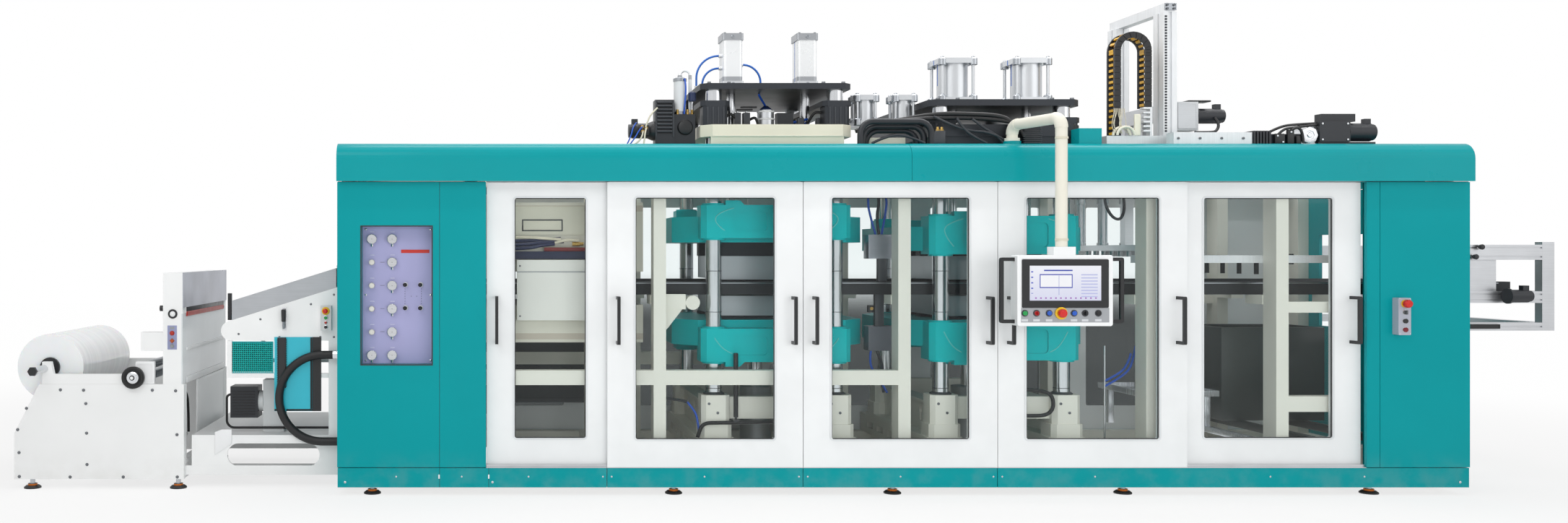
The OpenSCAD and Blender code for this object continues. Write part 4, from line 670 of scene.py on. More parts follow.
def tubes(name, routes, radius, material, sides=4, body="frame"):
    pieces = [tubeAlong([at(*point) for point in route], radius, sides) for route in routes]
    add(name, pieces, material, body=body, angle=60)


# Finishes of the added pieces
steelBright = lined("steelBright", "#cfd1d4", rough=0.24, along="x", line=0.08)
yellowMoulded = moulded("yellowMoulded", "#e2b513", rough=0.4)
redGloss = moulded("redGloss", "#bf1d15", rough=0.22, grain=0.04)
greyMoulded = moulded("greyMoulded", "#8d9093", rough=0.48)
blueHose = moulded("blueHose", "#1c4fb0", rough=0.32, grain=0.05)
tealCoat = powderCoat("boxTeal", "#06989e", rough=0.36, dust=0)
whiteCoat = powderCoat("boxWhite", "#e6e7e8", rough=0.4, dust=0)
blackCoat = powderCoat("boxBlack", "#1c1d20", rough=0.45, dust=0)

# Operator panel
screen = {"wide": 0.433, "low": 1.2573, "high": 1.4683, "deep": 0.0022}
panelLow, panelHigh = boxOf("hmi_panel")
panelMid = (panelLow + panelHigh) / 2
controlZ = (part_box("hmi_green_button")[0][2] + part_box("hmi_green_button")[1][2]) / 2


# A lit screen: a header bar, a column of keys and a plain chart, all without letters
def screenFinish(name, low, high):
    made, wire, place = startFinish(name)
    x, y, z = axes(wire, place)
    u = (x - low.x) / (high.x - low.x)
    v = (z - low.z) / (high.z - low.z)
    fine = noise(wire, place, 900, 1)
    ground = v.blend(tone("#dfe1f6"), tone("#f7f8ff"))
    rows = u.between(0.72, 0.95) * v.between(0.1, 0.8) * ((v * 70).wave() > 0.35)
    caption = u.between(0.2, 0.6) * v.between(0.845, 0.885)
    frameOut = u.between(0.14, 0.6) * v.between(0.36, 0.76)
    frameIn = u.between(0.152, 0.588) * v.between(0.39, 0.73)
    stem = ((u - 0.41).size() < 0.003) * v.between(0.16, 0.72)
    keys = u.between(0.05, 0.95) * v.between(0.05, 0.095) * ((u * 90).wave() > 0.5)
    edge = u.between(0.02, 0.05) * v.between(0.2, 0.95) * ((v * 40).wave() > 0.7)
    colour = rows.blend(ground, tone("#c3c7ee"))
    colour = caption.blend(colour, tone("#4d5bb5"))
    colour = frameOut.blend(colour, tone("#4a55b8"))
    colour = frameIn.blend(colour, tone("#fafbff"))
    colour = stem.blend(colour, tone("#8890d4"))
    colour = keys.blend(colour, tone("#b07fc8"))
    colour = edge.blend(colour, tone("#6f7bd0"))
    glow = wire.node("ShaderNodeEmission", None, {"Color": colour, "Strength": 0.8}, out="Emission")
    glass = wire.node("ShaderNodeBsdfPrincipled", None, {"Base Color": colour, "Roughness": fine * 0.05 + 0.12})
    mixed = wire.node("ShaderNodeMixShader", None, {0: fine * 0.02 + 0.62, 1: glass, 2: glow})
    wire.node("ShaderNodeOutputMaterial", None, {"Surface": mixed})
    return made


screenLow = Vector((panelMid.x - screen["wide"] / 2, panelFront - 0.003 - screen["deep"], screen["low"]))
screenHigh = Vector((panelMid.x + screen["wide"] / 2, panelFront - 0.003, screen["high"]))
add("panel_screen", framed(screenLow, screenHigh, 0.004, -0.0006, edge=0.0008),
    screenFinish("screenFinish", screenLow, screenHigh), body="panel")

# Grey control strip under the screen, with a ring round each control and a bare tag under it
strip = {"low": controlZ - 0.056, "high": controlZ + 0.032, "deep": 0.0012}
add("panel_control_strip", framed((panelMid.x - 0.267, panelFront - strip["deep"], strip["low"]),
    (panelMid.x + 0.267, panelFront - 0.0002, strip["high"]), 0.004, -0.0004, edge=0.0004),
    powderCoat("stripGrey", "#9a9da1", rough=0.45, dust=0), body="panel")
ringed = ("hmi_green_button", "hmi_key_switch", "hmi_left_blue_button", "hmi_right_blue_button", "hmi_selector",
          "hmi_black_button")
places = [((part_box(n)[0][0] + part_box(n)[1][0]) / 2, 0, 0) for n in ringed]
add("panel_control_rings", turned((0, panelFront - strip["deep"], controlZ), "y",
    [(0, 0.0205), (-0.0022, 0.0205), (-0.0038, 0.019), (-0.004, 0.0135), (-0.001, 0.0125)]),
    powderCoat("ringDark", "#33363b", rough=0.3, dust=0), places, body="panel")
stopX = (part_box("hmi_stop_button")[0][0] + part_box("hmi_stop_button")[1][0]) / 2
add("panel_stop_collar", turned((stopX, panelFront - strip["deep"], controlZ), "y",
    [(0, 0.036), (-0.003, 0.037), (-0.0115, 0.037), (-0.0135, 0.034), (-0.0135, 0.0215), (-0.006, 0.0205),
    (-0.0055, 0.014)]), yellowMoulded, body="panel")
add("panel_tag_plates", block((-0.02, panelFront - strip["deep"] - 0.0008, controlZ - 0.05),
    (0.02, panelFront - strip["deep"] + 0.0001, controlZ - 0.036), 0.0003),
    powderCoat("tagSilver", "#c9ccd0", rough=0.35, dust=0), places, body="panel")

# Rear cover of the panel and its four screws
add("panel_rear_cover", framed((panelMid.x - 0.25, panelFront + 0.1001, screen["low"] - 0.1),
    (panelMid.x + 0.25, panelFront + 0.108, screen["high"] + 0.03), 0.018, 0.004, edge=0.003, front=(0, 1, 0)),
    whiteCoat, body="panel")
add("panel_rear_screws", turned((panelMid.x, panelFront + 0.108, 1.318), "y",
    [(0, 0.006), (0.002, 0.006), (0.003, 0.004), (0.0032, 0.0025), (0.0015, 0.0024)], 16), steelBright,
    [(sx, 0, sz) for sx in (-0.238, 0.238) for sz in (-0.145, 0.165)], body="panel")

# Collar bands where the arm's tube sections meet
dropY = (panelLow.y + panelHigh.y) / 2
add("arm_collar_bands", turned((panelMid.x, dropY, 1.62), "z",
    [(0, 0.0352), (0.001, 0.0385), (0.013, 0.0385), (0.014, 0.0352), (0.0141, 0.02), (0.0001, 0.02)]),
    powderCoat("bandBeige", "#cfcab8", rough=0.5), [(0, 0, 0), (0, 0, 0.62)], body="arm")
print("operator panel")

# Pneumatic panel
needleTurns = (20, -40, 35, -75, 10, -20, 60, -5)   # degrees
gaugeLow, gaugeHigh = boxOf("pressure_gauges")
gaugeX = [gaugeLow.x + 0.0315, gaugeHigh.x - 0.0315]
gaugeZ = [gaugeLow.z + 0.0315 + 0.15 * i for i in range(6)]
dialPlaces = [(gaugeX[1], gaugeZ[i]) for i in range(6)] + [(gaugeX[0], gaugeZ[0]), (gaugeX[0], gaugeZ[5])]
dialFace = gaugeLow.y + 0.004   # the sunk face of each dial


# Ticks round the rim of a dial, worked out from the angle and radius about its middle
def dialFinish(name, centreX, centreZ):
    made, wire, place = startFinish(name)
    x, y, z = axes(wire, place)
    across = x - centreX
    up = z - centreZ
    radius = (across * across + up * up).curved(0.5)
    angle = wire.maths("ARCTAN2", across, up)
    step = 2 * math.pi / 36
    near = (wire.maths("PINGPONG", angle + 8 * math.pi, step / 2) < 0.032)
    scaleRing = near * radius.between(0.0205, 0.0255) * (angle.size() < math.radians(140))
    edge = radius.between(0.0262, 0.0268)
    green = radius.between(0.0185, 0.0198) * angle.between(-1.2, 0.9)
    colour = scaleRing.most(edge).blend(green.blend(tone("#f2f2ee"), tone("#3c9b55")), tone("#1a1b1d"))
    rough = 0.3 + noise(wire, place, 60, 2) * 0.1
    return closeFinish(made, wire, colour, rough, noise(wire, place, 300, 2), bump=0.03)


for number, (dialX, dialZ) in enumerate(dialPlaces):
    add("gauge_dial_%d" % (number + 1), turned((dialX, dialFace + 0.0001, dialZ), "y",
        [(0, 0.0287), (-0.0008, 0.0287), (-0.001, 0.0282)], 40),
        dialFinish("dialFinish%d" % (number + 1), dialX, dialZ))
needles = []
for number, (dialX, dialZ) in enumerate(dialPlaces):
    pointer = block((-0.0007, -0.0006, -0.005), (0.0007, 0.0002, 0.019), 0.0002, 1)
    pickFaces(pointer, lambda c, n: n.z > 0.9)
    bpy.ops.transform.resize(value=(0.3, 1, 1))
    bpy.ops.object.mode_set(mode="OBJECT")
    hub = turned((0, 0, 0), "y", [(0.0002, 0.003), (-0.0014, 0.003), (-0.002, 0.002)], 16)
    pointer = joined([pointer, hub])
    turn = math.radians(needleTurns[number])
    pointer.data.transform(Matrix.Translation((dialX, dialFace - 0.0018, dialZ)) @ Matrix.Rotation(turn, 4,
        "Y"))
    needles.append(pointer)
add("gauge_needles", needles, blackMoulded)
add("gauge_rims", turned((0, gaugeLow.y, 0), "y",
    [(0.0003, 0.0318), (-0.0006, 0.0314), (-0.0012, 0.0302), (-0.0004, 0.0294), (0.003, 0.0292)], 48),
    steelBright, [(px, 0, pz) for px, pz in dialPlaces])

# Fittings under each gauge, ridged grips on the regulators
add("gauge_fittings", turned((0, 0, 0), "z", [(0, 0.008), (0.012, 0.008), (0.013, 0.006), (0.02, 0.006)], 6),
    steelBright, [(px, gaugeHigh.y - 0.012, pz - 0.048) for px, pz in dialPlaces])
knobLow, knobHigh = boxOf("regulator_knobs")
knobX = (knobLow.x + knobHigh.x) / 2
gripSilver = lined("gripSilver", "#c9c7c0", rough=0.36, along="y", line=0.15, metallic=0.4)
ridges = turned((0, knobLow.y, 0), "y", [(0.002, 0.0176), (0.0014, 0.0182), (0.026, 0.0182), (0.0265, 0.0174)],
    24)
pickFaces(ridges, lambda c, n: abs(n.y) < 0.3 and int(math.degrees(math.atan2(c.x, c.z)) // 15) % 2 == 0)
bpy.ops.mesh.inset(thickness=0.0004, use_individual=True)
bpy.ops.transform.shrink_fatten(value=0.0006)
bpy.ops.object.mode_set(mode="OBJECT")
add("regulator_grips", ridges, gripSilver, [(knobX, 0, gaugeZ[i]) for i in (1, 2, 3, 4)])

# Guide lines between the ball levers, links between the gauges, bare tags and screws
leverLow, leverHigh = boxOf("valve_levers")
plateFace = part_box("gauge_panel")[1][1] - 0.0118
lines = block((-0.0012, plateFace - 0.0006, -0.0035), (0.0012, plateFace + 0.0002, 0.0035), 0.0002, 1)
ballX = (leverLow.x + 0.012, leverHigh.x - 0.012)
ballZ = (leverLow.z + 0.012, leverHigh.z - 0.012)
dashes = [(x, 0, ballZ[0] + (ballZ[1] - ballZ[0]) * k / 10) for x in ballX for k in range(1, 10)]
dashes += [(x, 0, (ballZ[0] + ballZ[1]) / 2) for x in (ballX[0] + 0.041, ballX[1] - 0.03)]
add("panel_guide_lines", lines, blackMoulded, dashes)
link = block((-0.014, plateFace - 0.0006, -0.001), (0.014, plateFace + 0.0002, 0.001), 0.0002, 1)
linkX = (gaugeX[0] + gaugeX[1]) / 2
add("gauge_link_lines", link, blackMoulded, [(linkX, 0, gaugeZ[i]) for i in (1, 2, 3, 4)])
add("gauge_tag_plates", block((-0.014, plateFace - 0.0012, -0.0028), (0.014, plateFace + 0.0002, 0.0028),
    0.0006), powderCoat("tagPale", "#c3c2dc", rough=0.4, dust=0),
    [(gx, 0, gz + 0.047) for gx in gaugeX for gz in gaugeZ])
plateScrew = turned((0, plateFace, 0), "y", [(0.0002, 0.007), (-0.003, 0.007), (-0.0045, 0.005),
    (-0.0046, 0.003), (-0.002, 0.0028)], 16)
corners = [(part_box("gauge_panel")[0][0] + a, 0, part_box("gauge_panel")[0][2] + b) for a in (0.02, 0.44)
    for b in (0.02, 0.445, 0.87)]
add("gauge_panel_screws", plateScrew, steelBright, corners)
print("pneumatic panel")

# Screws on the skin
skinScrew = turned((0, 0, 0), "y", [(0.0002, 0.0075), (-0.0025, 0.0075), (-0.0038, 0.0055), (-0.004, 0.0035),
    (-0.0016, 0.0032)], 16)
places = [at(sx, 0.005, 0.085) for sx in (0.05, 0.99, 7.16)]
add("skin_screws", skinScrew, steelBright, places)

# A seal round the pane of every door
sealWide = 0.009
sealRubber = moulded("sealRubber", "#2a2b2d", rough=0.65, grain=0.2)
for number in (1, 2, 3, 4, 5):
    body = "door_%d_body" % number if number != 3 else "frame"
    low, high = boxOf("door_%d_window" % number)
    lip = block((low.x - 0.004, low.y - 0.0065, low.z - 0.004),
        (high.x + 0.004, low.y - 0.0003, high.z + 0.004), 0.0)
    setIn(lip, lambda c, n: abs(n.y) > 0.9, sealWide)
    inner = lambda c: abs(c.x - (low.x + high.x) / 2) < 0.01 and abs(c.z - (low.z + high.z) / 2) < 0.01
    pickFaces(lip, lambda c, n: abs(n.y) > 0.9 and inner(c))
    bpy.ops.mesh.bridge_edge_loops()
    bpy.ops.object.mode_set(mode="OBJECT")
    add("door_%d_seal" % number, lip, sealRubber, body=body)
print("screws and seals")

# Unwinder
unwinder = {"plateFace": 0.25, "columnX": -1.1125, "boltRadius": 0.0105, "knobZ": 1.145,
            "plateZ": 0.99, "rearFace": 1.55, "rollers": ((-1.327, 0.79), (-1.262, 0.742))}

zincBolt = lined("zincBolt", "#75787c", rough=0.35, along="y", line=0.1, cloud=0.15)
darkRed = moulded("darkRed", "#a4271c", rough=0.4, grain=0.05)
orangeCap = moulded("orangeCap", "#a64d20", rough=0.35, grain=0.05)
lavenderPlate = powderCoat("lavenderPlate", "#8d92b4", rough=0.42, dust=0)
greyRoller = lined("greyRoller", "#8f9499", rough=0.3, along="y", line=0.1)

boltPlaces = [(-1.851, 0.646), (-1.699, 0.644), (-1.247, 0.644), (-1.094, 0.640), (-1.684, 0.556),
              (-2.074, 0.525), (-2.132, 0.385), (-1.679, 0.362), (-1.085, 0.352), (-2.123, 0.234),
              (-1.676, 0.156), (-2.121, 0.077), (-1.787, 0.074), (-1.438, 0.074), (-1.083, 0.074)]
face = unwinder["plateFace"]
size = unwinder["boltRadius"]
bolt = turned(at(0, 0, 0), "y", [(0, size), (-0.0015, size), (-0.0015, size * 0.78), (-0.005, size * 0.72),
    (-0.0068, size * 0.4)], 20)
rearBolt = turned(at(0, 0, 0), "y", [(0, size), (0.0015, size), (0.0015, size * 0.78), (0.005, size * 0.72),
    (0.0068, size * 0.4)], 20)
add("unwinder_bolts", bolt, zincBolt, [(x, face, z) for x, z in boltPlaces])
add("unwinder_rear_bolts", rearBolt, zincBolt, [(x, unwinder["rearFace"], z) for x, z in boltPlaces])

# Knob and its dial on the column, and the small control plate
add("column_dial", turned(at(unwinder["columnX"], face, unwinder["knobZ"]), "y",
    [(0, 0.031), (-0.004, 0.031), (-0.006, 0.029), (-0.006, 0.019), (-0.0035, 0.0185)], 40), blackMoulded)
add("column_dial_centre", turned(at(unwinder["columnX"], face - 0.0037, unwinder["knobZ"]), "y",
    [(0, 0.0178), (-0.003, 0.0178), (-0.003, 0.013), (-0.014, 0.0115), (-0.016, 0.009)], 32), whiteCoat)
low, high = unwinder["plateZ"] - 0.079, unwinder["plateZ"] + 0.079
add("column_plate", block(at(-1.147, face - 0.0022, low), at(-1.085, face - 0.0001, high), 0.001),
    lavenderPlate)
for name, z, radius, material in (("column_plate_lamp", 1.019, 0.0125, darkRed),
    ("column_plate_diamond", 0.969, 0.0135, orangeCap), ("column_plate_switch", 0.934, 0.0105, greyMoulded)):
    sides = 4 if name.endswith("diamond") else 28
    add(name, turned(at(-1.116, face - 0.0022, z), "y",
        [(0, radius * 1.25), (-0.003, radius * 1.25), (-0.003, radius), (-0.011, radius),
        (-0.013, radius * 0.8)], sides), material)
stripe = block(at(-1.131, face - 0.0027, 1.045), at(-1.101, face - 0.00225, 1.06), 0)
setIn(stripe, facesFront, 0.002)
add("column_plate_card", stripe, greyMoulded)

# Idler rollers between the side plates, on small bearing blocks
for number, (x, z) in enumerate(unwinder["rollers"]):
    add("idler_roller_%d" % (number + 1), turned(at(x, 0.262, z), "y",
        [(0, 0.012), (0.04, 0.012), (0.04, 0.027), (0.044, 0.029), (1.232, 0.029), (1.236, 0.027),
        (1.236, 0.012), (1.276, 0.012)], 36), greyRoller)
bearing = framed(at(-1.36, 0.255, 0.6832), at(-1.235, 0.29, 0.832), 0.012, -0.004, 0.004)
twin = copied(bearing, (0, 1.255, 0))
add("idler_bearings", [bearing, twin], whiteCoat)

# Red wiper and dark lip under the hood, rails, door and grip of the end wall
hoodLow = 1.187
add("hood_lip", block(at(-1.0476, 0.344, hoodLow - 0.03), at(-1.041, 1.456, hoodLow - 0.0005), 0.001),
    blackMoulded)
wiper = block(at(-1.0475, 0.344, hoodLow - 0.062), at(-1.0412, 1.456, hoodLow - 0.0305), 0.001)
setIn(wiper, lambda c, n: n.x > 0.9, 0.006, (0.0006, 0, 0))
add("hood_wiper", wiper, darkRed)
rails = ((0.345, 1.455, 0.684, 0.724), (0.345, 1.455, 0.9, 0.92), (0.292, 1.508, 0.062, 0.112),
         (0.292, 0.33, 0.113, 0.68), (1.47, 1.508, 0.113, 0.68), (0.62, 0.66, 0.113, 0.68))
add("end_wall_rails", [block(at(-1.0478, y0, z0), at(-1.0405, y1, z1), 0.0015) for y0, y1, z0, z1 in rails],
    whiteCoat)
add("end_wall_door", framed(at(-1.046, 0.664, 0.116), at(-1.0415, 1.466, 0.677), 0.02, -0.0012, 0.001,
    (1, 0, 0)), paleGrey)
add("end_wall_grip", framed(at(-1.0412, 0.69, 0.225), at(-1.04, 0.725, 0.295), 0.007, -0.0006, 0.0005,
    (1, 0, 0)), steelBright)

# Machinery in the end wall's opening: pump body, valve, shelf and hose
add("end_wall_pump", turned(at(-1.19, 0.44, 0.32), "z",
    [(0, 0.05), (0.02, 0.05), (0.02, 0.042), (0.11, 0.042), (0.12, 0.03), (0.16, 0.03), (0.165, 0.02)], 28),
    blackMoulded)
add("end_wall_valve", turned(at(-1.19, 0.44, 0.4852), "z",
    [(0, 0.018), (0.012, 0.022), (0.04, 0.022), (0.046, 0.014), (0.06, 0.014)], 8), blueHose)
add("end_wall_shelf", block(at(-1.3, 0.335, 0.3), at(-1.1, 0.6, 0.3198), 0.002), whiteCoat)
add("end_wall_hose", tubeAlong([at(-1.19, 0.44, 0.545), at(-1.19, 0.44, 0.6), at(-1.14, 0.5, 0.64),
    at(-1.1, 0.58, 0.6), at(-1.1, 0.62, 0.45), at(-1.1, 0.62, 0.3199)], 0.009, 4), rubber)
print("unwinder details")

# Infeed
mesh = {"low": (-0.764, 0.751), "high": (-0.463, 0.958), "y": 0.306, "across": 23, "up": 16, "wire": 0.0052}

meshTeal = powderCoat("meshTeal", "#10b0aa", rough=0.4, dust=0)
# Near-black for painted shade behind the guard mesh and painted shadow strips on the service panel
paintedShadeBlack = moulded("paintedShadeBlack", "#191c1e", rough=0.6)
low, high = at(mesh["low"][0], mesh["y"], mesh["low"][1]), at(mesh["high"][0], mesh["y"], mesh["high"][1])
bpy.ops.object.select_all(action="DESELECT")
bpy.ops.mesh.primitive_grid_add(x_subdivisions=mesh["across"], y_subdivisions=mesh["up"], size=1,
                                location=((low[0] + high[0]) / 2, low[1], (low[2] + high[2]) / 2),
                                rotation=(math.radians(90), 0, 0))
guard = bpy.context.object
guard.scale = (high[0] - low[0], high[2] - low[2], 1)
bpy.ops.object.transform_apply(location=True, rotation=True, scale=True)
wires = guard.modifiers.new("wires", "WIREFRAME")
wires.thickness = mesh["wire"]
wires.use_boundary = True
bpy.ops.object.modifier_apply(modifier=wires.name)
add("guard_mesh", guard, meshTeal, angle=20)
sides = ((-0.766, -0.461, 0.7502, 0.757), (-0.766, -0.461, 0.952, 0.959), (-0.766, -0.759, 0.7572, 0.9518),
         (-0.468, -0.461, 0.7572, 0.9518))
add("guard_border", [block(at(x0, 0.3035, z0), at(x1, 0.3085, z1), 0.0008) for x0, x1, z0, z1 in sides],
    tealCoat)
# Black sheet behind the teal mesh: painted shade standing in for the dark behind the guard
guardShadeSheet = block(at(-0.757, 0.33, 0.757), at(-0.47, 0.334, 0.955), 0.001)
setIn(guardShadeSheet, facesFront, 0.012, (0, 0.002, 0))
add("guard_painted_shade", guardShadeSheet, paintedShadeBlack)

# Slotted cable duct on the service panel, and painted shadow strips along the panel's edges
duct = block(at(-0.43, 0.2795, 0.655), at(-0.374, 0.2938, 0.988), 0.001)
setIn(duct, facesFront, 0.006, (0, 0.0012, 0))
finger = block(at(-0.4335, 0.281, 0.663), at(-0.4302, 0.2925, 0.67), 0.0005, 1)
fingers = [copied(finger, (side, 0, row * 0.0145)) for side in (0, 0.0597) for row in range(22)]
bpy.data.objects.remove(finger)
add("service_duct", [duct] + fingers, blackMoulded)
# Thin near-black strips along the panel's edges: painted shadow lines
paintedShadowStrips = ((-0.452, -0.4305, 0.503, 0.515), (-0.373, -0.2005, 0.503, 0.515), (-0.215, -0.2015, 0.516, 0.988))
add("service_painted_shadow", [block(at(x0, 0.2905, z0), at(x1, 0.2938, z1), 0.001) for x0, x1, z0, z1 in paintedShadowStrips],
    paintedShadeBlack)

# Lever of the web clamp in its slot
add("lever_slot", framed(at(-0.401, 0.2978, 1.035), at(-0.373, 0.2997, 1.185), 0.006, -0.0012, 0.0005),
    steelBright)
add("lever_shaft", turned(at(-0.387, 0.263, 1.046), "z", [(0, 0.006), (0.002, 0.0085), (0.046, 0.0085)], 20),
    greyRoller)
add("lever_grip", turned(at(-0.387, 0.263, 1.0925), "z",
    [(0, 0.011), (0.004, 0.0135), (0.07, 0.0155), (0.078, 0.014), (0.082, 0.009)], 28), blackMoulded)

# Control station at the end of the front plate
face, x = 0.255, -0.1075
add("infeed_stop_collar", turned(at(x, face, 1.164), "y",
    [(0, 0.0255), (-0.003, 0.0265), (-0.006, 0.025), (-0.009, 0.016)], 40), yellowMoulded)
add("infeed_stop_cap", turned(at(x, face - 0.0091, 1.164), "y",
    [(0, 0.01), (-0.008, 0.01), (-0.01, 0.016), (-0.02, 0.0165), (-0.024, 0.013), (-0.026, 0.007)], 36),
    redGloss)
startGreen = moulded("startGreen", "#178f45", rough=0.3)
for name, z, radius, material, slotName in (("infeed_start_cap", 1.119, 0.0115, startGreen, "green"),
                                            ("infeed_lamp_cap", 1.088, 0.0085, darkRed, "red"),
                                            ("infeed_select_cap", 1.058, 0.0105, blackMoulded, "black")):
    add(name + "_ring", turned(at(x, face, z), "y",
        [(0, radius * 1.35), (-0.0025, radius * 1.35), (-0.0035, radius * 1.2)], 30), steelBright)
    add(name, turned(at(x, face - 0.0036, z), "y", [(0, radius), (-0.006, radius), (-0.008, radius * 0.8)], 30),
        material)

# Gusset between the base rail and the unwinder, and screws on the side plates
gusset = block(at(-0.846, 0.292, 0.19), at(-0.735, 0.2998, 0.38), 0)
cutOff((at(-0.735, 0.295, 0.285), (0.55, 0, -0.83)), (at(-0.8, 0.295, 0.38), (-0.35, 0, 0.94)))
roundEdges(gusset, 0.0015)
add("base_gusset", gusset, whiteCoat)
screw = turned(at(0, 0, 0), "y", [(0, 0.0075), (-0.0012, 0.0075), (-0.0012, 0.006), (-0.0042, 0.0052),
    (-0.005, 0.003)], 16)
places = [(-0.546, 1.107), (-0.212, 1.207), (-0.69, 1.01), (-0.15, 0.99), (-0.42, 0.99), (-0.06, 1.27),
    (-0.06, 0.99)]
infeedFace = 0.2999
add("infeed_screws", screw, zincBolt, [(x, infeedFace, z) for x, z in places])

# Sensor post and clamp at the nose
add("nose_post", framed(at(-0.768, 0.325, 1.1005), at(-0.744, 0.355, 1.278), 0.004, -0.002, 0.0015),
    blackMoulded)
add("nose_clamp", turned(at(-0.72, 0.34, 1.098), "z",
    [(0, 0.02), (0.012, 0.026), (0.034, 0.026), (0.042, 0.018), (0.05, 0.012)], 8), tealCoat)

# Fins of the square servo
add("servo_ribs", [block(at(-0.762, 0.446, z), at(-0.612, 0.4498, z + 0.007), 0.0008, 1)
    for z in [0.456 + row * 0.019 for row in range(9)]], blackCoat)
print("infeed details")

# Roof equipment
roofTop = 2.2462
stations = (2.85, 4.35)   # middles of the forming and the cutting station
cylinder = {"row": 0.5, "sides": (-0.25, 0.25), "small": (3.5, 3.758)}

brass = lined("brassFitting", "#b8995a", rough=0.3, along="z", line=0.05)
cableBlack = moulded("cableBlack", "#17181a", rough=0.42, grain=0.08)
cableDull = moulded("cableDull", "#2c2f34", rough=0.5, grain=0.1)
paleCable = moulded("paleCable", "#cfc8b4", rough=0.5)
navyPlastic = moulded("navyPlastic", "#16264a", rough=0.32, grain=0.05)
filterGrey = moulded("filterGrey", "#dfe2e3", rough=0.28, grain=0.05)
blackMetal = powderCoat("machineBlack", "#33363b", rough=0.36, dust=0)
creamCoat = powderCoat("bracketCream", "#e4e0cf", rough=0.42, dust=0)
steelBand = lined("steelBand", "#9fa3a8", rough=0.3, along="x", line=0.15)

# Gearbox of station 1: fins, side borders, round lid, neck to the motor
add("gearbox_fins", block(at(2.0745, 0.275, 2.3428), at(2.1755, 0.2848, 2.3542), 0.002), blackMetal,
    [(0, 0, row * 0.024) for row in range(9)])
add("gearbox_border", [block(at(x0, 0.278, 2.3075), at(x0 + 0.009, 0.2848, 2.5545), 0.002)
    for x0 in (2.063, 2.1785)], blackMetal)
add("gearbox_neck", turned(at(2.0617, 0.34, 2.355), "x",
    [(0, 0.064), (-0.014, 0.064), (-0.03, 0.0565), (-0.044, 0.0515)], 36), blackCoat)
add("gearbox_lid", turned(at(2.262, 0.2998, 2.375), "y",
    [(0, 0.052), (-0.004, 0.052), (-0.008, 0.047), (-0.016, 0.045), (-0.021, 0.03), (-0.022, 0.012)], 36),
    cableBlack)
add("gearbox_shim", framed(at(2.119, 0.236, roofTop), at(2.262, 0.2835, 2.2562), 0.012, -0.002, 0.001,
    (0, 0, 1)), creamCoat)
add("motor_terminal_box", block(at(1.952, 0.262, 2.325), at(2.022, 0.2895, 2.388), 0.004), cableBlack)
add("motor_gland", turned(at(1.978, 0.2615, 2.345), "y",
    [(0, 0.012), (-0.006, 0.012), (-0.006, 0.009), (-0.014, 0.009), (-0.016, 0.007)], 6), brass,
    [(0, 0, 0), (0.022, 0, 0.022), (-0.004, 0, 0.03)])
tubes("motor_cables", [((1.978, 0.247, 2.345), (1.975, 0.235, 2.32), (1.95, 0.228, 2.275),
    (1.915, 0.225, 2.2535)), ((2.0, 0.247, 2.367), (1.99, 0.232, 2.34), (1.985, 0.224, 2.29),
    (1.978, 0.22, 2.2535)), ((2.075, 0.262, 2.5), (2.03, 0.255, 2.46), (2.005, 0.25, 2.4),
    (1.995, 0.248, 2.372))], 0.0055, paleCable)
tubes("motor_blue_cables", [((1.974, 0.247, 2.375), (1.95, 0.24, 2.35), (1.925, 0.23, 2.3),
    (1.885, 0.22, 2.2515)), ((1.94, 0.3, 2.405), (1.915, 0.27, 2.38), (1.9, 0.25, 2.31),
    (1.868, 0.235, 2.2515))], 0.0045, blueHose)

# Reservoir beside it: bands, hose, coil and brass unions
add("reservoir_bands", turned(at(2.236, 0.36, 2.684), "z",
    [(0, 0.0408), (0.002, 0.0448), (0.02, 0.0448), (0.026, 0.036)], 40), steelBand,
    [(0, 0, 0), (0, 0, -0.2212)])
tubes("reservoir_hose", [((2.262, 0.318, 2.7), (2.268, 0.308, 2.66), (2.266, 0.305, 2.58), (2.258, 0.306, 2.5),
    (2.258, 0.312, 2.465))], 0.006, blueHose)
add("drive_coil", turned(at(2.313, 0.33, 2.548), "z",
    [(0, 0.02), (0.004, 0.026), (0.058, 0.026), (0.064, 0.018), (0.068, 0.008)], 32), navyPlastic)
add("brass_unions", turned((0, 0, 2.4622), "z",
    [(0, 0.011), (0.012, 0.011), (0.014, 0.008), (0.022, 0.008), (0.026, 0.01), (0.032, 0.009)], 12), brass,
    [at(2.313, 0.33, 0), at(2.281, 0.316, 0), at(2.213, 0.312, 0)])
add("coil_stem", turned(at(2.313, 0.33, 2.4938), "z", [(0, 0.009), (0.054, 0.009)], 16), steelBright)

# Bearing housings: ribs in front, nuts on the plates above
ribPlaces = [(middle + side + shift, top) for middle, top in ((stations[0], 2.508), (stations[1], 2.398))
             for side in (-0.4, 0.4) for shift in (-0.052, -0.017, 0.018, 0.053)]
add("bearing_ribs", [block(at(x - 0.005, 0.2145, top - 0.118), at(x + 0.005, 0.2197, top - 0.006), 0.001, 1)
    for x, top in ribPlaces], blackMetal)
add("plate_nuts", turned((0, 0, 0), "z", [(0, 0.013), (0.009, 0.013), (0.0105, 0.011)], 6), zincBolt,
    [at(middle + side, depth, plateTop) for middle, plateTop in ((stations[0], 2.6582), (stations[1], 2.5522))
    for side in (-0.44, -0.31, 0.31, 0.44) for depth in (0.235, 0.36, 1.44, 1.565)])

# Strip along the lower edge of station 1's base plate
add("base_plate_strip", block(at(2.44, 0.1805, 2.3065), at(3.26, 0.1847, 2.3125), 0.0008, 1), creamCoat)

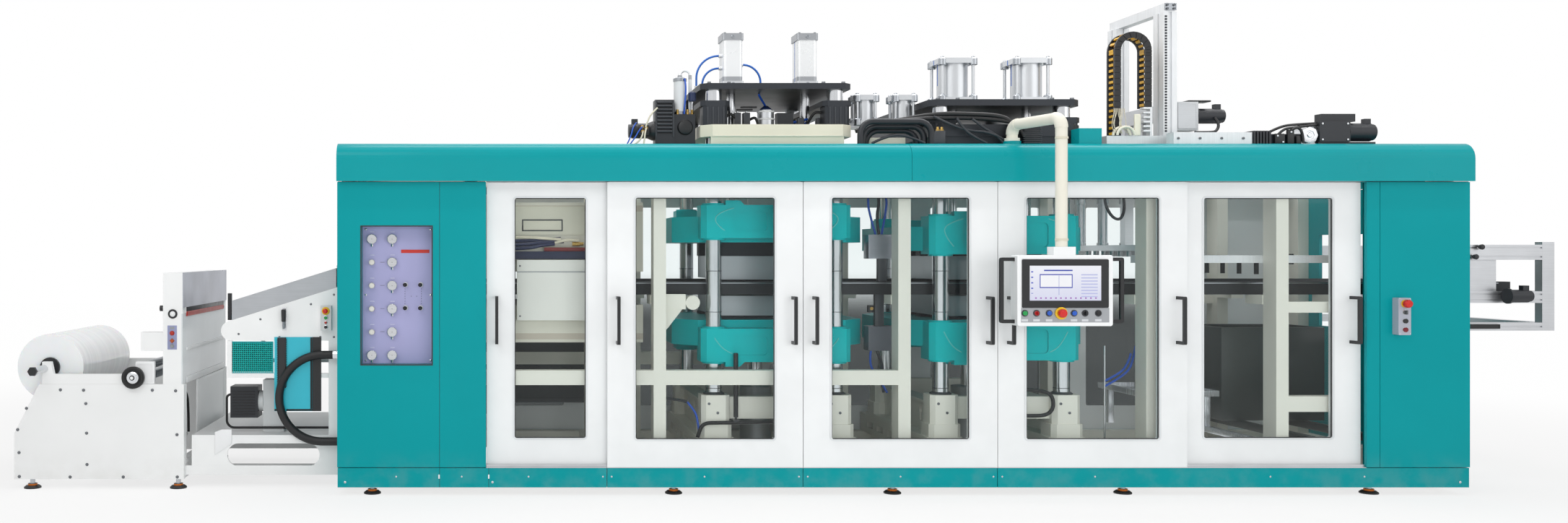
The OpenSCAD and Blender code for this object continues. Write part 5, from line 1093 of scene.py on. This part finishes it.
# Cylinders: cap screws, port plugs and tie-rod lobes
add("cylinder_screws", turned((0, 0, 0), "z",
    [(0, 0.0085), (0.006, 0.0085), (0.007, 0.0065), (0.007, 0.0045), (0.003, 0.0042)], 16), zincBolt,
    [at(stations[0] + side + dx, cylinder["row"] + dy, 3.0182) for side in cylinder["sides"]
    for dx in (-0.052, 0.052) for dy in (-0.07, 0.07)])
add("cylinder_ports", turned((0, 0, 0), "y", [(0, 0.013), (-0.004, 0.013), (-0.005, 0.01), (-0.005, 0.006),
    (-0.002, 0.0055)], 12), steelBand,
    [at(stations[0] + side, 0.4097, z) for side in cylinder["sides"] for z in (2.678, 2.995)])
lobe = turned((0, 0, 0), "z", [(0, 0.024), (0.003, 0.0275), (0.043, 0.0275), (0.048, 0.023), (0.0485, 0.012),
    (0.058, 0.011), (0.06, 0.007)], 24)
squares = [(stations[1] + side, 0.103, (2.801, 2.5523)) for side in cylinder["sides"]]
squares += [(x, 0.06, (2.56, 2.4005)) for x in cylinder["small"]]
lobePlaces = [at(x + dx, cylinder["row"] + dy, z) for x, half, ends in squares
              for dx in (-half, half) for dy in (-half, half) for z in ends]
add("cylinder_lobes", lobe, lined("lobeSteel", "#b4b8bd", rough=0.26, along="z", line=0.05),
    lobePlaces)

# Filter and valves over the base plate of station 1
add("filter_hoops", turned(at(2.82, 0.42, 2.3845), "z",
    [(0, 0.0552), (0.002, 0.0585), (0.01, 0.0585), (0.012, 0.0552)], 36), filterGrey,
    [(0, 0, 0), (0, 0, 0.05), (0, 0, 0.1)])
add("filter_head", turned(at(2.82, 0.42, 2.5002), "z",
    [(0, 0.04), (0.008, 0.042), (0.016, 0.03), (0.03, 0.014)], 24), navyPlastic)
add("valve_blocks", [block(at(x, 0.36, 2.3843), at(x + 0.045, 0.42, 2.445 + (x < 2.7) * 0.035), 0.004)
    for x in (2.6, 2.66, 3.02, 3.15)], blackMetal)
add("valve_handles", block(at(2.61, 0.345, 2.492), at(2.72, 0.365, 2.503), 0.004), cableBlack,
    [(0, 0, 0), (0.03, 0.012, 0.018)])
add("handle_posts", turned((0, 0, 2.4802), "z", [(0, 0.008), (0.0118, 0.008)], 12), steelBright,
    [at(2.622, 0.375, 0), at(2.682, 0.378, 0)])
add("solenoid_collar", block(at(2.888, 0.3775, 2.3845), at(2.998, 0.4625, 2.394), 0.002),
    moulded("collarBlue", "#2a8fd0", rough=0.3))
tubes("station_1_blue_hoses", [((2.79, 0.5, 2.618), (2.8, 0.49, 2.59), (2.815, 0.45, 2.55),
    (2.82, 0.425, 2.525)), ((2.9965, 0.41, 2.42), (3.03, 0.405, 2.423), (3.06, 0.41, 2.435),
    (3.1, 0.42, 2.442)), ((2.9965, 0.43, 2.405), (3.04, 0.43, 2.4), (3.08, 0.44, 2.415), (3.12, 0.45, 2.42))],
    0.0075, blueHose)
tubes("station_1_cables", [((2.70, 0.40, 2.43), (2.735, 0.38, 2.455), (2.755, 0.38, 2.43), (2.765, 0.39, 2.39)),
                           ((3.09, 0.40, 2.40), (3.115, 0.37, 2.46), (3.15, 0.36, 2.49), (3.18, 0.33, 2.47)),
                           ((2.52, 0.38, 2.40), (2.55, 0.36, 2.47), (2.585, 0.36, 2.47), (2.61, 0.37, 2.44))],
      0.009, cableBlack)

# Cable bundle that crosses from the loops to station 2
tubes("roof_cable_bundle", [((3.36, 0.2, 2.34), (3.52, 0.19, 2.392), (3.72, 0.17, 2.415), (3.92, 0.158, 2.425),
    (4.12, 0.158, 2.423), (4.3, 0.158, 2.41), (4.41, 0.155, 2.38), (4.44, 0.15, 2.3)),
    ((3.6, 0.23, 2.405), (3.75, 0.2, 2.435), (3.92, 0.155, 2.452), (4.1, 0.155, 2.448), (4.28, 0.155, 2.44),
    (4.37, 0.155, 2.4), (4.38, 0.15, 2.28))], 0.014, cableBlack)
tubes("roof_thin_cables", [((3.85, 0.14, 2.43), (3.95, 0.138, 2.38), (4.08, 0.135, 2.335), (4.22, 0.13, 2.33),
    (4.34, 0.13, 2.26)), ((4.1, 0.14, 2.415), (4.18, 0.135, 2.35), (4.27, 0.135, 2.3), (4.3, 0.13, 2.253)),
    ((4.0, 0.14, 2.42), (4.03, 0.13, 2.36), (4.1, 0.13, 2.3), (4.19, 0.128, 2.255)),
    ((3.44, 0.11, 2.253), (3.53, 0.1, 2.3), (3.66, 0.1, 2.31), (3.78, 0.1, 2.253))], 0.0085, cableDull)
add("cable_bellows", block(at(4.43, 0.135, 2.2563), at(4.553, 0.178, 2.2633), 0.0025), blackMetal,
    [(0, 0, row * 0.0125) for row in range(9)])
add("bellows_core", block(at(4.442, 0.142, roofTop), at(4.541, 0.172, 2.372), 0.004), cableBlack)
wedge = block(at(3.83, 0.105, roofTop), at(3.915, 0.165, 2.335), 0)
cutOff((at(3.855, 0.13, 2.335), (-0.72, 0, 0.69)))
roundEdges(wedge, 0.004)
add("cable_clamp", wedge, blackMetal)
add("roof_glands", turned((0, 0, 0), "z", [(0, 0.013), (0.01, 0.013), (0.012, 0.009), (0.026, 0.008)], 6),
    brass, [at(3.872, 0.13, 2.3352), at(3.902, 0.14, 2.3352), at(3.47, 0.26, 2.302)])
add("cable_tray", framed(at(3.43, 0.24, roofTop), at(3.7, 0.4, 2.3015), 0.012, -0.004, 0.003, (0, 0, 1)),
    creamCoat)
add("small_cylinder_fittings", turned((0, 0, 0), "x",
    [(0, 0.009), (-0.008, 0.009), (-0.012, 0.016), (-0.03, 0.017), (-0.038, 0.009)], 24), steelBright,
    [at(x - 0.0635, cylinder["row"], 2.44) for x in cylinder["small"]])

# Chain foot: cream arches and plate, loose wires in front of the left leg
bpy.ops.object.select_all(action="DESELECT")
bpy.ops.mesh.primitive_torus_add(location=at(5.165, 0.276, 2.3215), rotation=(math.radians(90), 0, 0),
                                 major_radius=0.056, minor_radius=0.0085, major_segments=44, minor_segments=14)
arch = bpy.context.object
bpy.ops.object.transform_apply(location=True, rotation=True, scale=True)
cutOff((at(5.165, 0.276, 2.322), (0, 0, -1)))
add("chain_arch", arch, creamCoat, [(0, 0, 0), (-0.018, 0.02, 0)])
add("chain_side_plate", framed(at(5.226, 0.283, 2.3205), at(5.268, 0.298, 2.462), 0.006, -0.002, 0.005),
    creamCoat)
random.seed(4)
wireRoutes = []
for number in range(9):
    x = 5.094 + number * 0.0085
    sway = random.uniform(-0.022, 0.012)
    wireRoutes.append(((x + 0.004, 0.2985, 2.50), (x, 0.29, 2.465), (x + sway, 0.284, 2.425),
                       (x + sway * 1.3, 0.286, 2.38), (x + random.uniform(0, 0.03), 0.29, 2.335)))
tubes("chain_wires", wireRoutes, 0.0022, paleCable, 2)

# Tower: belt in the front slot, top plate and screws, hood over the motor, gear plate, cable
add("tower_belt", block(at(5.4335, 0.2955, 2.345), at(5.4475, 0.2998, 2.357), 0.001, 1), cableDull,
    [(0, 0, row * 0.0185) for row in range(42)])
add("tower_top_plate", framed(at(5.43, 0.2945, 3.148), at(5.51, 0.2998, 3.196), 0.005, -0.0015, 0.0015),
    steelBand)
add("tower_screws", turned((0, 0, 0), "y", [(0, 0.008), (-0.005, 0.008), (-0.006, 0.006), (-0.006, 0.004),
    (-0.003, 0.0038)], 16), zincBolt, [at(x, 0.2929, z) for x in (5.447, 5.493)
    for z in (3.16, 3.184)] + [at(x, 0.1097, 2.286) for x in (5.42, 5.56, 5.7, 5.84)])
add("tower_motor_hood", block(at(5.6, 0.318, 2.5463), at(5.752, 0.412, 2.5575), 0.0045, 3), cableBlack)
add("tower_gear_plate", framed(at(5.523, 0.3035, 2.364), at(5.652, 0.3078, 2.538), 0.008, -0.0012, 0.0015),
    lined("gearPlate", "#b9bcbf", rough=0.4, along="x", line=0.3, metallic=0.6))
tubes("tower_motor_cable", [((5.77, 0.31, 2.44), (5.79, 0.29, 2.4), (5.76, 0.27, 2.345), (5.7, 0.25, 2.337),
    (5.6, 0.24, 2.337))], 0.009, cableBlack)

# Right drive: joint face, connectors and their cables
add("joint_face", turned(at(6.267, 0.1097, 2.306), "y",
    [(0, 0.054), (-0.004, 0.054), (-0.006, 0.045), (-0.006, 0.03), (-0.003, 0.028), (-0.003, 0.018),
    (-0.008, 0.014)], 8), steelBright)
add("drive_connectors", [block(at(x0, 0.092, z0), at(x1, 0.112, z1), 0.005)
    for x0, x1, z0, z1 in ((6.035, 6.1, 2.2465, 2.315), (6.115, 6.16, 2.2465, 2.34),
    (6.172, 6.205, 2.2465, 2.3))], cableBlack)
tubes("drive_cables", [((6.06, 0.1, 2.31), (6.09, 0.095, 2.345), (6.15, 0.1, 2.352), (6.22, 0.118, 2.362),
    (6.33, 0.125, 2.375)), ((6.02, 0.12, 2.33), (6.08, 0.11, 2.362), (6.17, 0.12, 2.376), (6.33, 0.14, 2.385)),
    ((6.14, 0.095, 2.335), (6.17, 0.088, 2.36), (6.21, 0.088, 2.33), (6.215, 0.09, 2.255))], 0.0085, cableBlack)
add("drive_screws", turned((0, 0, 0), "y", [(0, 0.0065), (-0.004, 0.0065), (-0.005, 0.005)], 14), steelBright,
    [at(x, 0.0997, z) for x in (6.345, 6.508) for z in (2.277, 2.38)] + [at(x, 0.0917, z)
    for x, z in ((6.05, 2.3), (6.085, 2.26), (6.1375, 2.325))])
print("roof equipment")

# Inside the bays
bay = {"footFront": 0.2078, "between": (3.50, 3.69), "feet": (2.45, 3.25, 3.95, 4.75), "rows": (0.3, 1.5),
       "deck": 0.3126}

heaterCream = powderCoat("heaterCream", "#d9d6c6", rough=0.45, dust=0)
hollowDark = powderCoat("hollowDark", "#3b3f42", rough=0.5, dust=0)
# Purple-grey of a machined face in shade: painted shade over the metal grey
machinedGreyPaintedShade = lined("machinedGreyPaintedShade", "#9b9ea6", rough=0.36, along="x", line=0.25, metallic=0.75)
tealLine = powderCoat("tealLine", "#5fc4c1", rough=0.4, dust=0)
paleColumn = lined("paleColumn", "#dfe1e6", rough=0.25, along="z", line=0.08, metallic=0.7)

# Front of the heater: a hatch with its rim and panel, the wiring tray over the cover
add("heater_hatch", framed(at(1.1, 0.3465, 1.662), at(1.6, 0.3517, 1.856), 0.014, -0.003, 0.0015), heaterCream)
add("heater_hatch_rim", framed(at(1.185, 0.3435, 1.69), at(1.455, 0.3478, 1.768), 0.0055, -0.003, 0.0008),
    hollowDark)
add("heater_hatch_panel", block(at(1.193, 0.3428, 1.698), at(1.447, 0.3462, 1.76), 0.0008), heaterCream)
add("wiring_tray", framed(at(1.12, 0.275, 1.505), at(1.665, 0.345, 1.556), 0.005, -0.006, 0.002),
    moulded("trayNavy", "#141d3c", rough=0.4))
add("wiring_red_strip", block(at(1.33, 0.285, 1.5562), at(1.66, 0.335, 1.582), 0.003),
    moulded("stripRed", "#6e1f1c", rough=0.45))
tubes("wiring_tubes", [((1.125, 0.30, 1.575), (1.24, 0.292, 1.577), (1.32, 0.295, 1.60), (1.40, 0.30, 1.605)),
                       ((1.125, 0.31, 1.60), (1.22, 0.305, 1.602), (1.34, 0.305, 1.618), (1.46, 0.31, 1.622)),
                       ((1.125, 0.32, 1.625), (1.26, 0.315, 1.627), (1.38, 0.315, 1.635), (1.44, 0.32, 1.64))],
      0.012, moulded("tubeNavy", "#20284a", rough=0.35))
tubes("wiring_pale", [((1.40, 0.285, 1.612), (1.46, 0.282, 1.628), (1.50, 0.285, 1.632), (1.56, 0.29, 1.626)),
                      ((1.14, 0.285, 1.648), (1.22, 0.28, 1.65), (1.34, 0.285, 1.641), (1.44, 0.29, 1.634))],
      0.009, paleCable)
add("wiring_ferrules", turned(at(1.515, 0.295, 1.605), "x",
    [(0, 0.015), (0.05, 0.015), (0.052, 0.011), (0.075, 0.011)], 20), brass)
add("cover_lip", block(at(1.152, 0.2565, 1.418), at(1.648, 0.2597, 1.424), 0.0008, 1), steelBand)
add("cover_screws", turned((0, 0, 0), "y", [(0, 0.006), (-0.002, 0.006), (-0.003, 0.004)], 14), zincBolt,
    [at(x, 0.2597, z) for x in (1.17, 1.63) for z in (1.13, 1.46)])

# Switch box at the rear of the heating bay, with louvres and legs
add("rear_switch_box", framed(at(0.86, 1.62, 0.4), at(1.96, 1.7, 1.06), 0.03, -0.006, 0.004), hollowDark)
add("switch_box_louvres", block(at(1.08, 1.612, 0.52), at(1.34, 1.6195, 0.528), 0.002, 1), blackMetal,
    [(dx, 0, row * 0.024) for dx in (0, 0.42) for row in range(7)])
add("switch_box_legs", [block(at(x, 1.63, 0.3125), at(x + 0.05, 1.69, 0.3998), 0.002) for x in (0.9, 1.86)],
    blackMetal)

# Feet: collars under the pillars, bolts; pillars: dark rings
add("pillar_collars", turned((0, 0, 0.6152), "z", [(0, 0.07), (0.006, 0.07), (0.009, 0.066), (0.016, 0.0535)],
    40), hollowDark, [at(x, y, 0) for x in bay["feet"] for y in bay["rows"]])
add("pillar_rings", turned((0, 0, 0), "z", [(0, 0.0526), (0, 0.0532), (0.004, 0.0532), (0.004, 0.0526)], 40),
    hollowDark, [at(x, y, z) for x in bay["feet"] for y in bay["rows"]
    for z in (0.654, 1.155, 1.425)])
add("foot_bolts", turned((0, 0, 0), "y", [(0, 0.009), (-0.003, 0.009), (-0.004, 0.006), (-0.002, 0.0055)], 16),
    zincBolt, [at(x + dx, bay["footFront"], z) for x in bay["feet"]
    for dx, z in ((0.012, 0.5), (-0.045, 0.56))])

# Guard rod in front of station 1, hoses along the feet
add("guard_rod", turned(at(2.576, 0.186, 0.4572), "z",
    [(0, 0.008), (0.016, 0.008), (0.018, 0.0155), (0.43, 0.0155), (0.436, 0.012)], 24), cableBlack)
add("guard_rod_clip", block(at(2.558, 0.168, 0.4475), at(2.594, 0.2697, 0.457), 0.002), blackMetal)
tubes("foot_hoses", [((2.325, 0.176, 0.345), (2.34, 0.176, 0.4), (2.37, 0.178, 0.437), (2.45, 0.178, 0.44),
    (2.62, 0.178, 0.441), (2.84, 0.178, 0.447)),
    ((4.36, 0.178, 0.486), (4.5, 0.178, 0.484), (4.6, 0.178, 0.488), (4.642, 0.178, 0.53), (4.642, 0.178, 0.6),
    (4.6, 0.178, 0.648), (4.46, 0.178, 0.655))], 0.0125, cableBlack)
tubes("bay_blue_hoses", [((2.27, 0.262, 0.565), (2.31, 0.25, 0.52), (2.335, 0.235, 0.46), (2.338, 0.19, 0.36)),
                         ((5.24, 0.30, 0.93), (5.22, 0.295, 0.80), (5.14, 0.30, 0.72), (5.036, 0.30, 0.665)),
                         ((5.22, 0.32, 0.88), (5.19, 0.31, 0.79), (5.10, 0.30, 0.73), (5.036, 0.30, 0.70)),
                         ((3.53, 0.45, 2.04), (3.505, 0.44, 1.90), (3.53, 0.43, 1.77), (3.56, 0.43, 1.67)),
                         ((3.60, 0.46, 2.04), (3.645, 0.45, 1.93), (3.63, 0.44, 1.80), (3.60, 0.43, 1.67)),
                         ((3.52, 0.40, 0.89), (3.50, 0.38, 0.80), (3.56, 0.37, 0.72), (3.62, 0.37, 0.615))],
      0.0075, blueHose)
tubes("bay_dark_cables", [((2.13, 0.27, 0.588), (2.2, 0.268, 0.58), (2.25, 0.265, 0.572), (2.27, 0.262, 0.565)),
    ((5.05, 0.31, 2.03), (5.03, 0.31, 1.9), (5.08, 0.3, 1.78), (5.15, 0.3, 1.76), (5.18, 0.31, 1.88),
    (5.14, 0.31, 2.03)), ((3.57, 0.44, 2.04), (3.59, 0.43, 1.9), (3.56, 0.42, 1.78), (3.58, 0.42, 1.67)),
    ((3.56, 0.4, 0.89), (3.6, 0.39, 0.8), (3.58, 0.38, 0.7), (3.6, 0.38, 0.615))], 0.0095, cableDull)

add("hose_stay", turned(at(5.036, 0.3, bay["deck"]), "z",
    [(0, 0.012), (0.006, 0.012), (0.007, 0.0065), (0.62, 0.0065)], 16), steelBright)

# Boxes on the rail between the stations, above and below the web, with their sensor. The upper box's
# purple-grey and the lower box's dark slate give the look of machined faces in shade: painted shade
add("web_box_posts", [block(at(3.565, 0.39, 1.3545), at(3.625, 0.43, 1.5065), 0.002),
    block(at(3.545, 0.39, 1.0565), at(3.605, 0.43, 1.2675), 0.002)], blackMetal)
add("web_box_upper", framed(at(bay["between"][0], 0.385, 1.507), at(bay["between"][1], 0.5, 1.668), 0.01,
    -0.002, 0.003), machinedGreyPaintedShade)
add("web_box_lower", framed(at(bay["between"][0], 0.385, 0.892), at(bay["between"][1] - 0.02, 0.5, 1.056),
    0.008, -0.002, 0.003), powderCoat("slatePaintedShade", "#5b5e66", rough=0.42, dust=0))
add("web_sensor", block(at(3.5, 0.392, 1.148), at(3.5448, 0.425, 1.196), 0.003), cableBlack)
add("web_sensor_eye", turned(at(3.522, 0.3918, 1.174), "y",
    [(0, 0.011), (-0.006, 0.011), (-0.006, 0.008), (-0.002, 0.0075)], 24), brass)
add("rail_front_strip", block(at(0.02, 0.3745, 1.3405), at(7.7, 0.3768, 1.3485), 0.0005, 1), steelBand)

# Pale guide columns behind the tower, hung from a bar
bar = block(at(5.36, 1.46, 1.952), at(5.84, 1.54, 1.985), 0.003)
hangers = [block(at(x, 1.48, 1.9852), at(x + 0.03, 1.52, 2.0503), 0.002) for x in (5.4, 5.77)]
add("column_bar", [bar] + hangers, blackMetal)
add("guide_columns", turned((0, 0, 1.58), "z",
    [(0, 0.036), (0.004, 0.041), (0.04, 0.041), (0.042, 0.034), (0.33, 0.034), (0.332, 0.041), (0.3715, 0.041)],
    32), paleColumn, [at(x, 1.5, 0) for x in (5.43, 5.6, 5.77)])

# Stack bin on two bearers, and a tray with grippers behind the fourth door
bearers = [block(at(x, 0.1, bay["deck"]), at(x + 0.05, 1.7, 0.3625), 0.002) for x in (6.25, 6.7)]
trough = framed(at(6.13, 0.86, 0.3627), at(6.86, 1.3, 1.02), 0.014, -0.28, 0.004, front=(0, 0, 1))
add("stack_bin", bearers + [trough], powderCoat("binSmoke", "#3e4443", rough=0.3, dust=0))
shelf = framed(at(5.42, 0.62, 0.56), at(5.98, 1.2, 0.6), 0.012, -0.02, 0.003, front=(0, 0, 1))
stilts = [block(at(x, y, bay["deck"]), at(x + 0.04, y + 0.04, 0.5599), 0.002) for x in (5.46, 5.9)
    for y in (0.66, 1.12)]
rests = [block(at(x, 0.1, bay["deck"] - 0.0001), at(x + 0.04, 0.6599, 0.3526), 0.002) for x in (5.46, 5.9)]
add("stack_tray", [shelf] + stilts + rests, paleColumn)
add("tray_grippers", turned((0, 0, 0.6003), "z",
    [(0, 0.03), (0.05, 0.03), (0.055, 0.02), (0.1, 0.018), (0.105, 0.03), (0.15, 0.028)], 20), blackMoulded,
    [at(x, 0.8, 0) for x in (5.52, 5.66, 5.88)])

# Lines on the platens' front beams
beamFace = 0.2185
for name, middle, low, high in (("station_1_upper_platen", stations[0], 1.642, 1.86),
                                ("station_2_upper_platen", stations[1], 1.537, 1.789),
                                ("station_1_lower_platen", stations[0], 0.831, 1.049),
                                ("station_2_lower_platen", stations[1], 0.842, 1.09)):
    if "upper" in name:
        bends = ((-0.08, high - 0.02), (0.03, high - 0.05), (0.05, high - 0.12), (-0.02, low + 0.05))
    else:
        bends = ((-0.07, low + 0.055), (-0.02, low + 0.075), (0.04, high - 0.075), (0.045, high - 0.06))
    routes = [[(middle + side * 0.36 + side * out, beamFace, z) for out, z in bends] for side in (-1, 1)]
    tubes(name + "_lines", routes, 0.0035, tealLine, 3, name + "_body")

# Side station: stop collar, rings of the lower controls, plate screws
sideX, sideFace = 6.7645, -0.0552
add("side_stop_collar", turned(at(sideX, sideFace, 1.225), "y",
    [(0, 0.0235), (-0.0012, 0.0245), (-0.005, 0.0245), (-0.0068, 0.0215), (-0.0068, 0.013)], 36), yellowMoulded)
add("side_rings", turned((0, 0, 0), "y", [(0, 0.0165), (-0.0018, 0.0165), (-0.0028, 0.0152), (-0.0028, 0.0128)],
    30), steelBright, [at(sideX, sideFace, z) for z in (1.17, 1.115, 1.06)])
add("side_screws", turned((0, 0, 0), "y", [(0, 0.0032), (-0.0012, 0.0032), (-0.0018, 0.002)], 12), steelBright,
    [at(sideX + dx, sideFace, z) for dx in (-0.033, 0.033) for z in (1.034, 1.253)])

# Outfeed: two knobs on the profile and a small plate
add("outfeed_knobs", turned((0, 0, 0), "y", [(0, 0.008), (-0.012, 0.008), (-0.014, 0.016), (-0.03, 0.018),
    (-0.036, 0.014), (-0.038, 0.008)], 24), blackMoulded,
    [at(x, 0.2995, z) for x, z in ((7.47, 1.52), (7.51, 1.585))])
add("outfeed_plate", framed(at(7.42, 0.283, 1.045), at(7.64, 0.2997, 1.075), 0.004, -0.002, 0.002), cableBlack)

# Screws of the skirt and the tabs at its seams
screwDot = turned((0, 0, 0), "y", [(0, 0.0056), (-0.0016, 0.0056), (-0.0024, 0.0042), (-0.0024, 0.003),
    (-0.001, 0.0028)], 14)
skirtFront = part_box("skirt_panels")[0][1] - doorFace
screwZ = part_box("skirt_panels")[1][2] - 0.055
ends = [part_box("door_%d" % number)[0][0] - leftEdge for number in (2, 3, 4)]
dots = [0.376, 0.794, 1.22] + [x + dx for x in ends for dx in (-0.028, 0.028, 0.62)] + [5.95, 6.55]
add("skirt_screws", screwDot, steelBright, [at(x, skirtFront - 0.0002, screwZ) for x in dots])
add("seam_tabs", block((-0.0045, -0.0018, -0.013), (0.0045, 0.0002, 0.013), 0.0008), whiteCoat,
    [at(x, skirtFront - 0.0002, screwZ) for x in (0.649, 0.966)])

# Seams of the left column and skirt, a dark frame round the gauge recess that paints the shade of its inner
# walls, dark strips that paint the shade in the gaps over the columns
seamTeal = powderCoat("seamTeal", "#073c3f", rough=0.5, dust=0)
seams = [block(at(0.6512, -0.0004, 0.1805), at(0.6538, 0.0036, 1.9965), 0.0002, 1)]
seams += [block(at(x, skirtFront - 0.0008, 0.0525), at(x + 0.0028, skirtFront + 0.0003, 0.174), 0.0002, 1)
    for x in (0.6511, 0.9645)]
add("column_seams", seams, seamTeal)
recess = {"left": 0.1472, "right": 0.6098, "low": 0.8282, "high": 1.7208, "lip": 0.0075, "back": 0.008}
left, right, low, high, lip, back = recess.values()
bars = [(left, low, right, low + lip), (left, high - lip, right, high),
        (left, low + lip, left + lip, high - lip), (right - lip, low + lip, right, high - lip)]
# Dark frame round the recess opening: painted shade of the recess's inner walls
add("recess_painted_shade", [block(at(x0, -0.0006, z0), at(x1, back, z1), 0.0006, 1) for x0, z0, x1, z1 in bars],
    cableDull)
# Dark strips in the gaps between the roof cover and the columns: painted shade in the gaps
add("top_gap_painted_shade", [block(at(x0, 0.004, 1.9973), at(x1, 0.02, 2.0007), 0.0003, 1)
    for x0, x1 in ((0.004, 0.944), (6.566, 7.214))], cableDull)
print("bays, side station, outfeed")

print("scene ready")
